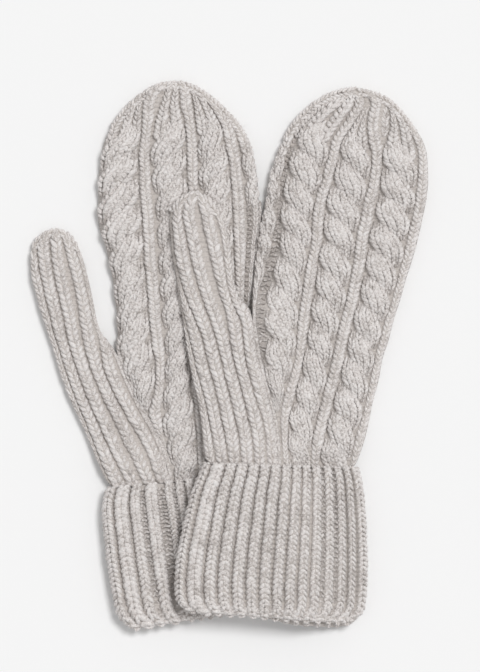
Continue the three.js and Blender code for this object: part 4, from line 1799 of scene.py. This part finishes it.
@dataclass
class Cuff:
    """A ribbed cuff, one wall turned up at the wrist opening.

    The route down it is given as a share: 0 is the cast-on edge, 1 the fold's lowest line.
    The legs of a rung or the hem are given by their width, thickness and tone; their dark tones are
    painted shade in the gutters.
    """

    name: str
    mitten: Mitten
    lines: Lines
    gutters: tuple[float, ...]
    flat: tuple[float, float]
    wide_gutters: dict[int, float] = field(default_factory=dict)
    gutter: float = 1.3
    peek: bool = False
    row_count: int = 29
    thickness: float = 10.8
    wall: float = 2.3
    slot_gap: float = 0.4
    edge_radius: float = 5.2
    rib_rise: float = 1.5
    shell_depth: float = 0.75
    fold_from: float = 0.955
    first_row: float = 0.012
    leg_span: tuple[float, float] = (0.06, 0.485)
    leg_width: float = 0.45
    leg_reach: float = 0.66
    fold_reach: float = 0.5
    fold_pitch: float = 0.72
    hem_rows: tuple[float, ...] = (0.955, 0.972, 0.989, 1.006, 1.023)
    # The negative tones of rungs and hem are painted shade, darkening these legs in the gutters and at
    # the fold.
    rung: tuple[float, float, float] = (1.35, 1.2, -1.3)
    hem: tuple[float, float, float] = (2.1, 1.6, -0.7)
    bead: float = 1.9
    back_points: int = 31
    strip_points: int = 6
    fibres: int = 1500

    @cached_property
    def width(self) -> float:
        """Width of the cuff half-way down, in photo points."""
        middle = self.lines.at(0.5)[0]
        return float(middle[2] - middle[0])

    @property
    def turn(self) -> float:
        """Depth in mm at which the fold's lowest line lies."""
        return self.wall + self.slot_gap / 2

    def point(
        self,
        along: np.ndarray | float,
        across: np.ndarray | float,
        side: Side,
        depth: np.ndarray | float,
        rise: np.ndarray | float,
    ) -> np.ndarray:
        """A point of the cuff.

        Args:
            along: Share from the cast-on edge to the fold.
            across: Share from the left edge to the right.
            side: Front or back wall.
            depth: Depth in from the outer face in mm.
            rise: Height over it in mm.

        Returns:
            Points in mm.
        """
        along, across, depth, rise = np.broadcast_arrays(along, across, depth, rise)
        lx, ly, rx, ry = self.lines.at(along).T
        left, right = lx + depth / MM, rx - depth / MM
        x = mix(left, right, across)
        y = mix(ly, ry, (x - lx) / (rx - lx))
        # The photo shows the back wall a little below the fold, over part of its width.
        if self.peek and side is Side.BACK:
            bulge = 5.5 * smooth((x - 255) / 40) * (1 - smooth((x - 335) / 22))
            y = y + bulge * smooth((along - 0.75) / 0.25)
        radius = np.maximum(0.5, self.edge_radius - depth) / MM
        q = np.clip(np.minimum(x - left, right - x) / radius, 0, 1)
        arc = np.sqrt(np.clip(1 - (1 - q) ** 2, 0, 1))
        out = (self.thickness / 2 - depth) * arc + rise * (EDGE_RISE + (1 - EDGE_RISE) * arc)
        height = self.thickness / 2 + side.value * out
        return PHOTO.place(x, y, LAY.height(self.mitten, x, y) + height)

    def half_gutter(self, number: int) -> float:
        """Half of a gutter's width as a share of the cuff; the two side edges have none.

        Args:
            number: Which gutter, from the left.

        Returns:
            The share.
        """
        if number in (0, len(self.gutters) - 1):
            return 0.0
        return self.wide_gutters.get(number, self.gutter) / self.width

    def knit_span(self, rib: int) -> tuple[float, float]:
        """Shares across the cuff where a rib's stitches start and end, clear of its gutters."""
        low, high = self.gutters[rib : rib + 2]
        return low + self.half_gutter(rib), high - self.half_gutter(rib + 1)

    def gutter_half(self, number: int) -> float:
        """Half of a gutter's width as a share of the rib to its right."""
        low, high = self.knit_span(number)
        return self.half_gutter(number) / (high - low)

    def route(self, t: np.ndarray) -> tuple[np.ndarray, np.ndarray]:
        """Where the outer face runs: down the cuff, then round the fold to its inner side.

        Args:
            t: Share of the route; what is past 1 is inside the fold.

        Returns:
            Share along the cuff, and depth in mm.
        """
        bend = 1 - self.fold_from
        angle = np.clip((t - self.fold_from) / bend, 0, 2) * (math.pi / 2)
        along = np.where(t < self.fold_from, t, self.fold_from + bend * np.sin(angle))
        depth = np.where(t < self.fold_from, 0.0, self.turn * (1 - np.cos(angle)))
        return along, depth

    def rib_point(
        self,
        rib: int,
        q: np.ndarray | float,
        t: np.ndarray | float,
        side: Side,
        rise: np.ndarray | float,
    ) -> np.ndarray:
        """A point over one rib, with its dome.

        Args:
            rib: Which rib, from the left.
            q: Share across it.
            t: Share of the route down the cuff.
            side: Front or back wall.
            rise: Height over the dome in mm.

        Returns:
            Points in mm.
        """
        q, t = np.broadcast_arrays(np.asarray(q, float), np.asarray(t, float))
        along, depth = self.route(t)
        lift = np.broadcast_to(rise, q.shape)
        if side is Side.FRONT:
            lift = self.rib_rise * np.sin(np.pi * np.clip(q, 0, 1)) + lift
        fade = np.clip(1 - depth / self.turn, -1, 1)
        out = self.point(along, mix(*self.knit_span(rib), q), side, depth, lift * fade)
        nose = np.where(t > self.fold_from, np.sqrt(np.clip(1 - fade**2, 0, 1)), 0)
        out[..., 1] -= nose * lift
        return out

    def lay_rib(self, legs: Legs, rib: int, side: Side, depth: np.ndarray | float) -> None:
        """Lays one rib of upside-down V stitches, from the cast-on edge round the fold.

        Args:
            legs: Where the legs are kept.
            rib: Which rib.
            side: Front or back wall.
            depth: How far the yarn sits in the cloth, in mm.
        """
        pitch = 1 / self.row_count
        rows = np.arange(self.first_row, 0.94, pitch)
        bent = np.arange(rows[-1] + 0.8 * pitch, 1.055, self.fold_pitch * pitch)
        t = np.concatenate((rows, bent))
        reach = pitch * np.where(t < 0.95, self.leg_reach, self.fold_reach)
        first, last = self.knit_span(rib)
        thick = (last - first) * self.width * self.leg_width * MM
        if side is Side.BACK:
            depth = mix(depth, 0.0, smooth((t - 0.9) / 0.06))
        for low, high in (self.leg_span, tuple(1 - s for s in self.leg_span)):
            start = self.rib_point(rib, low, np.clip(t + reach, 0, 1.09), side, -depth - 0.65)
            end = self.rib_point(rib, high, np.clip(t - reach, 0, 1.09), side, -depth + 0.35)
            q = np.full(len(t), (low + high) / 2)
            wide = self.rib_point(rib, q + 0.1, t, side, 0)
            wide = wide - self.rib_point(rib, q - 0.1, t, side, 0)
            down = self.rib_point(rib, q, t + 0.01, side, 0)
            down = down - self.rib_point(rib, q, t - 0.01, side, 0)
            legs.lay(start, end, unit(np.cross(down, wide)) * side.value, thick, thick)

    def lay_ladder(self, legs: Legs, number: int, rng: np.random.Generator) -> None:
        """Lays the rungs that show in an open gutter.

        Args:
            legs: Where the legs are kept.
            number: Which gutter.
            rng: Seeded source of the yarn's unevenness.
        """
        t = np.arange(0.03, 0.98, 1 / self.row_count)
        half = self.gutter_half(number)
        for first, last, lean in ((-2.3, -0.8, 0.009), (-1.2, 0.3, -0.009)):
            row = t + rng.normal(0, 0.003, len(t))
            slant = lean + rng.normal(0, 0.005, len(t))
            rise = -rng.uniform(1.1, 1.7, len(t))
            start = self.rib_point(number, first * half, row + slant, Side.FRONT, rise)
            end = self.rib_point(number, last * half, row - slant, Side.FRONT, rise)
            # The rungs wear the dark rung tone: painted shade in the open gutter.
            legs.lay(start, end, UP, *self.rung)

    def lay_hem(self, legs: Legs) -> None:
        """Lays the yarn that closes the gutters at the fold, where the ribs run together.

        Args:
            legs: Where the legs are kept.
        """
        t, out = np.array(self.hem_rows), unit(np.array((0.0, -0.5, 0.9)))
        for number in range(1, len(self.gutters) - 1):
            before = -2 * self.gutter_half(number) - 0.2
            start = self.rib_point(number, before, t + 0.004, Side.FRONT, -1.2)
            end = self.rib_point(number, 0.2, t - 0.004, Side.FRONT, -1.2)
            # The hem legs wear the dark hem tone: painted shade where the gutters close at the fold.
            legs.lay(start, end, out, *self.hem)

    def cast_on(self, legs: Legs, side: Side) -> None:
        """Lays the cast-on edge, a bead of yarn across the top of each rib.

        Args:
            legs: Where the legs are kept.
            side: Front or back wall.
        """
        out = unit(np.array((0.0, 0.5, 0.9 * side.value)))
        for rib in range(len(self.gutters) - 1):
            start = self.rib_point(rib, np.array([0.02, 0.52]), 0.0, side, -0.9)
            end = self.rib_point(rib, np.array([0.5, 0.98]), 0.0, side, -0.9)
            legs.lay(start, end, out, self.bead, self.bead)

    def cloth(self, ground: bpy.types.Material) -> bpy.types.Object:
        """Makes the turned-up wall, folded at the wrist and swept round the flat tube.

        Args:
            ground: What it wears.

        Returns:
            The wall's object.
        """
        inner, within = 2 * self.wall + self.slot_gap, self.wall + self.slot_gap
        t = np.concatenate((np.linspace(0.0, self.fold_from, 60), np.linspace(0.965, 1.045, 9)))
        along, depth = self.route(t)
        turned = 1 - depth / self.turn
        profile = [
            (a, d + self.shell_depth * c, max(c, 0.0)) for a, d, c in zip(along, depth, turned)
        ]
        profile += [(a, inner, 0.0) for a in (0.93, 0.6, 0.3, 0.088)]
        profile += [(a, within, 0.0) for a in (0.088, 0.3, 0.6)]
        profile += [(0.945, within - 0.05, 0.0), (0.945, self.wall + 0.05, 0.0)]
        profile += [(a, self.wall, 0.0) for a in (0.6, 0.3, 0.06, 0.01)]
        rings = np.stack([self.sweep(*stop) for stop in profile])
        faces = tube_faces(0, len(profile), rings.shape[1], closed=True)
        return plain_object(self.name, rings.reshape(-1, 3), faces, ground)

    def sweep(self, along: float, depth: float, dome: float) -> np.ndarray:
        """One ring round the cuff at one place of its profile.

        Args:
            along: Share down the cuff.
            depth: Depth in from the outer face in mm.
            dome: Share of the ribs' relief there.

        Returns:
            The ring's points in mm.
        """
        shares, rises = [], []
        near = float(smooth((along - 0.84) / 0.12))
        for rib, (a, b) in enumerate(zip(self.gutters[:-1], self.gutters[1:])):
            low, high = self.knit_span(rib)
            share = mix(a, b, np.arange(self.strip_points) / self.strip_points)
            arch = np.sin(np.pi * np.clip((share - low) / (high - low), 0, 1))
            shares.append(share)
            rises.append(mix(2 * arch - 0.75, 0.75 * arch - 0.05, near) * self.rib_rise * dome)
        across, rise = np.concatenate(shares), np.concatenate(rises)
        front = self.point(along, across, Side.FRONT, depth, rise)
        back = self.point(along, np.linspace(1, 0, self.back_points), Side.BACK, depth, 0.0)
        return np.concatenate((front, back[:-1]))

    def build(self, wool: Wool, rests_on: list[str]) -> list[bpy.types.Object]:
        """Builds and dresses the cuff and its stitches.

        Args:
            wool: The shared materials and yarn tree.
            rests_on: Names of what it lies on; not used.

        Returns:
            The cuff's pieces.
        """
        rng = np.random.default_rng(SEED + self.row_count)
        cloth = self.cloth(wool.ground)
        front, back = Legs(), Legs()
        for rib in range(len(self.gutters) - 1):
            self.lay_rib(front, rib, Side.FRONT, 0.7)
            self.lay_rib(back, rib, Side.BACK, 0.75)
        self.cast_on(front, Side.FRONT)
        self.lay_hem(front)
        for number in self.wide_gutters:
            self.lay_ladder(front, number, rng)
        pieces = dress(cloth, (front, back), self.fibres, wool, rng)
        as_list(pieces[1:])
        return pieces


# The studio


@dataclass(frozen=True)
class Studio:
    """A pale floor, soft light from above and the right, and a camera straight overhead."""

    frame_height: int = 672
    frame_middle: tuple[float, float] = (240.0, 336.0)
    lens: float = 260.0
    sheet_z: float = 8.0
    floor: str = "F8F8F8"
    floor_half: float = 1500.0
    floor_roughness: float = 0.9
    floor_specular: float = 0.1
    key_strength: float = 1.65
    key_spread: float = 18.0
    key_tilt: tuple[float, float] = (-17.0, 18.0)
    sky: float = 0.5

    def camera(self) -> None:
        """Sets the camera over the middle of the photo's frame."""
        data = bpy.data.cameras.new("overhead")
        data.lens = self.lens
        tall = self.frame_height * MM * MILLI
        camera = bpy.data.objects.new("overhead", data)
        centre = PHOTO.place(*(np.array(v) for v in (*self.frame_middle, self.sheet_z))) * MILLI
        distance = tall * self.lens / data.sensor_width
        camera.location = (centre[0], centre[1], centre[2] + distance)
        data.clip_start, data.clip_end = 0.1, distance * 3
        bpy.context.scene.collection.objects.link(camera)
        bpy.context.scene.camera = camera

    def lights(self) -> None:
        """Sets the soft key light and the even sky."""
        data = bpy.data.lights.new("key", "SUN")
        data.energy = self.key_strength
        data.angle = math.radians(self.key_spread)
        key = bpy.data.objects.new("key", data)
        key.rotation_euler = (*(math.radians(angle) for angle in self.key_tilt), 0)
        bpy.context.scene.collection.objects.link(key)
        world = bpy.data.worlds.new("sky")
        world.use_nodes = True
        world.node_tree.nodes["Background"].inputs["Color"].default_value = linear("FFFFFF")
        world.node_tree.nodes["Background"].inputs["Strength"].default_value = self.sky
        bpy.context.scene.world = world

    def ground(self) -> bpy.types.Object:
        """Makes the pale floor.

        Returns:
            The floor's object.
        """
        material = bpy.data.materials.new("matt_paper_floor")
        material.use_nodes = True
        shader = material.node_tree.nodes["Principled BSDF"]
        shader.inputs["Base Color"].default_value = linear(self.floor)
        shader.inputs["Roughness"].default_value = self.floor_roughness
        shader.inputs["Specular IOR Level"].default_value = self.floor_specular
        size = self.floor_half
        corners = np.array([(-size, -size, 0), (size, -size, 0), (size, size, 0), (-size, size, 0)])
        floor = plain_object("floor", corners, [(0, 1, 2, 3)], material)
        return floor


# The pair


def cable(notch: float, lean: float, crown: float, **shape: float) -> Strip:
    """A rope cable whose lobes start at a notch and lean one way, plain above its crown."""
    return Strip(Kind.CABLE, notch, lean, crown=crown, **shape)


KNIT = Strip(Kind.KNIT)
PURL = Strip(Kind.PURL)
UNDER_WRIST = Wrist(grip=458, end=492.6, slope=-0.097, span=(112, 262))
OVER_WRIST = Wrist(grip=442, end=477.4, slope=0.026, span=(205, 355))


@dataclass
class Thumb(Hand):
    """A ribbed thumb tube with its gusset, joined to the hand along its right edge."""

    joined: Edge = Edge.RIGHT
    row_pitch: float = 5.9
    leg_span: tuple[float, float] = (0.12, 0.465)
    leg_width: float = 0.375
    fibres: int = 800


def under_pieces() -> list[Hand | Cuff]:
    """The mitten that lies beneath, its palm up.

    Returns:
        Its hand, thumb and cuff.
    """
    hand = Hand(
        name="under_hand_cloth",
        mitten=Mitten.UNDER,
        lines=UNDER_HAND,
        strips=(
            cable(223.7, 0.7, crown=106, crown_columns=3),
            KNIT,
            cable(165.5, 0.6, crown=109),
            KNIT,
            cable(161.5, 0.6, crown=107),
            KNIT,
            cable(150, 0.6, crown=118, last=0.5, crown_columns=1, until=204),
        ),
        wrist=UNDER_WRIST,
        tucked=(204.0, 334.0),
        rims=(Rim(Edge.LEFT, 3.6, 128.0), Rim(Edge.RIGHT, 3.6, 150.0)),
        tip=81.1,
        crotch=346,
        hidden_from=494,
        flat=(0.155, 0.195),
        flat_area=0.0262,
    )
    thumb = Thumb(
        name="under_thumb_cloth",
        mitten=Mitten.UNDER,
        lines=UNDER_THUMB,
        strips=(KNIT,) * 5,
        wrist=UNDER_WRIST,
        rims=(Rim(Edge.LEFT, 3.2, 250.0), Rim(Edge.RIGHT, 3.2, 248.0)),
        tip=229.2,
        crotch=346,
        hidden_from=498,
        flat=(0.060, 0.125),
        flat_area=0.0072,
    )
    cuff = Cuff(
        name="under_cuff_cloth",
        mitten=Mitten.UNDER,
        lines=UNDER_CUFF,
        gutters=UNDER_GUTTERS,
        wide_gutters={3: 2.8, 4: 4.4, 5: 1.8},
        flat=(0.182, 0.130),
    )
    return [hand, thumb, cuff]


def over_pieces() -> list[Hand | Cuff]:
    """The mitten that lies on top, its back up.

    Returns:
        Its hand, thumb and cuff.
    """
    hand = Hand(
        name="over_hand_cloth",
        mitten=Mitten.OVER,
        lines=OVER_HAND,
        strips=(
            cable(157, -1, crown=128, first=0.55, crown_columns=1),
            PURL,
            cable(144, -1, crown=114),
            KNIT,
            cable(155, -1, crown=122),
            KNIT,
            cable(163.5, -1, crown=126),
            KNIT,
        ),
        wrist=OVER_WRIST,
        rims=(Rim(Edge.LEFT, 2.4, 140.0), Rim(Edge.LEFT, 9.6, 132.0), Rim(Edge.RIGHT, 3.6, 132.0)),
        tip=88.3,
        crotch=308,
        hidden_from=476,
        flat=(0.150, 0.185),
        flat_area=0.0240,
    )
    thumb = Thumb(
        name="over_thumb_cloth",
        mitten=Mitten.OVER,
        lines=OVER_THUMB,
        strips=(KNIT,) * 6,
        wrist=OVER_WRIST,
        rims=(Rim(Edge.LEFT, 3.2, 212.0), Rim(Edge.RIGHT, 3.2, 214.0)),
        tip=192.7,
        crotch=308,
        hidden_from=476,
        flat=(0.065, 0.135),
        flat_area=0.0085,
    )
    cuff = Cuff(
        name="over_cuff_cloth",
        mitten=Mitten.OVER,
        lines=OVER_CUFF,
        gutters=OVER_GUTTERS,
        wide_gutters={11: 2.1, 12: 2.1},
        flat=(0.182, 0.135),
        peek=True,
    )
    return [hand, thumb, cuff]


def main() -> None:
    """Loads the frame, then builds the studio and both mittens in order."""
    logging.basicConfig(level=logging.INFO, format="%(name)s: %(message)s")
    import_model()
    studio = Studio()
    studio.camera()
    studio.lights()
    studio.ground()
    bpy.context.scene.view_settings.view_transform = "Standard"
    wool = Wool(WoolYarn().build(), WoolGround().build(), YarnTree().build())
    beneath = ["floor", "under_hand_cloth", "under_cuff_cloth"]
    rests = {Mitten.UNDER: beneath[:1], Mitten.OVER: beneath}
    for part in (*under_pieces(), *over_pieces()):
        for piece in part.build(wool, rests[part.mitten]):
            faces = sum(len(f.vertices) - 2 for f in piece.data.polygons)
            LOG.info("%s: %d triangles", piece.name, faces)


if __name__ == "__main__":
    main()
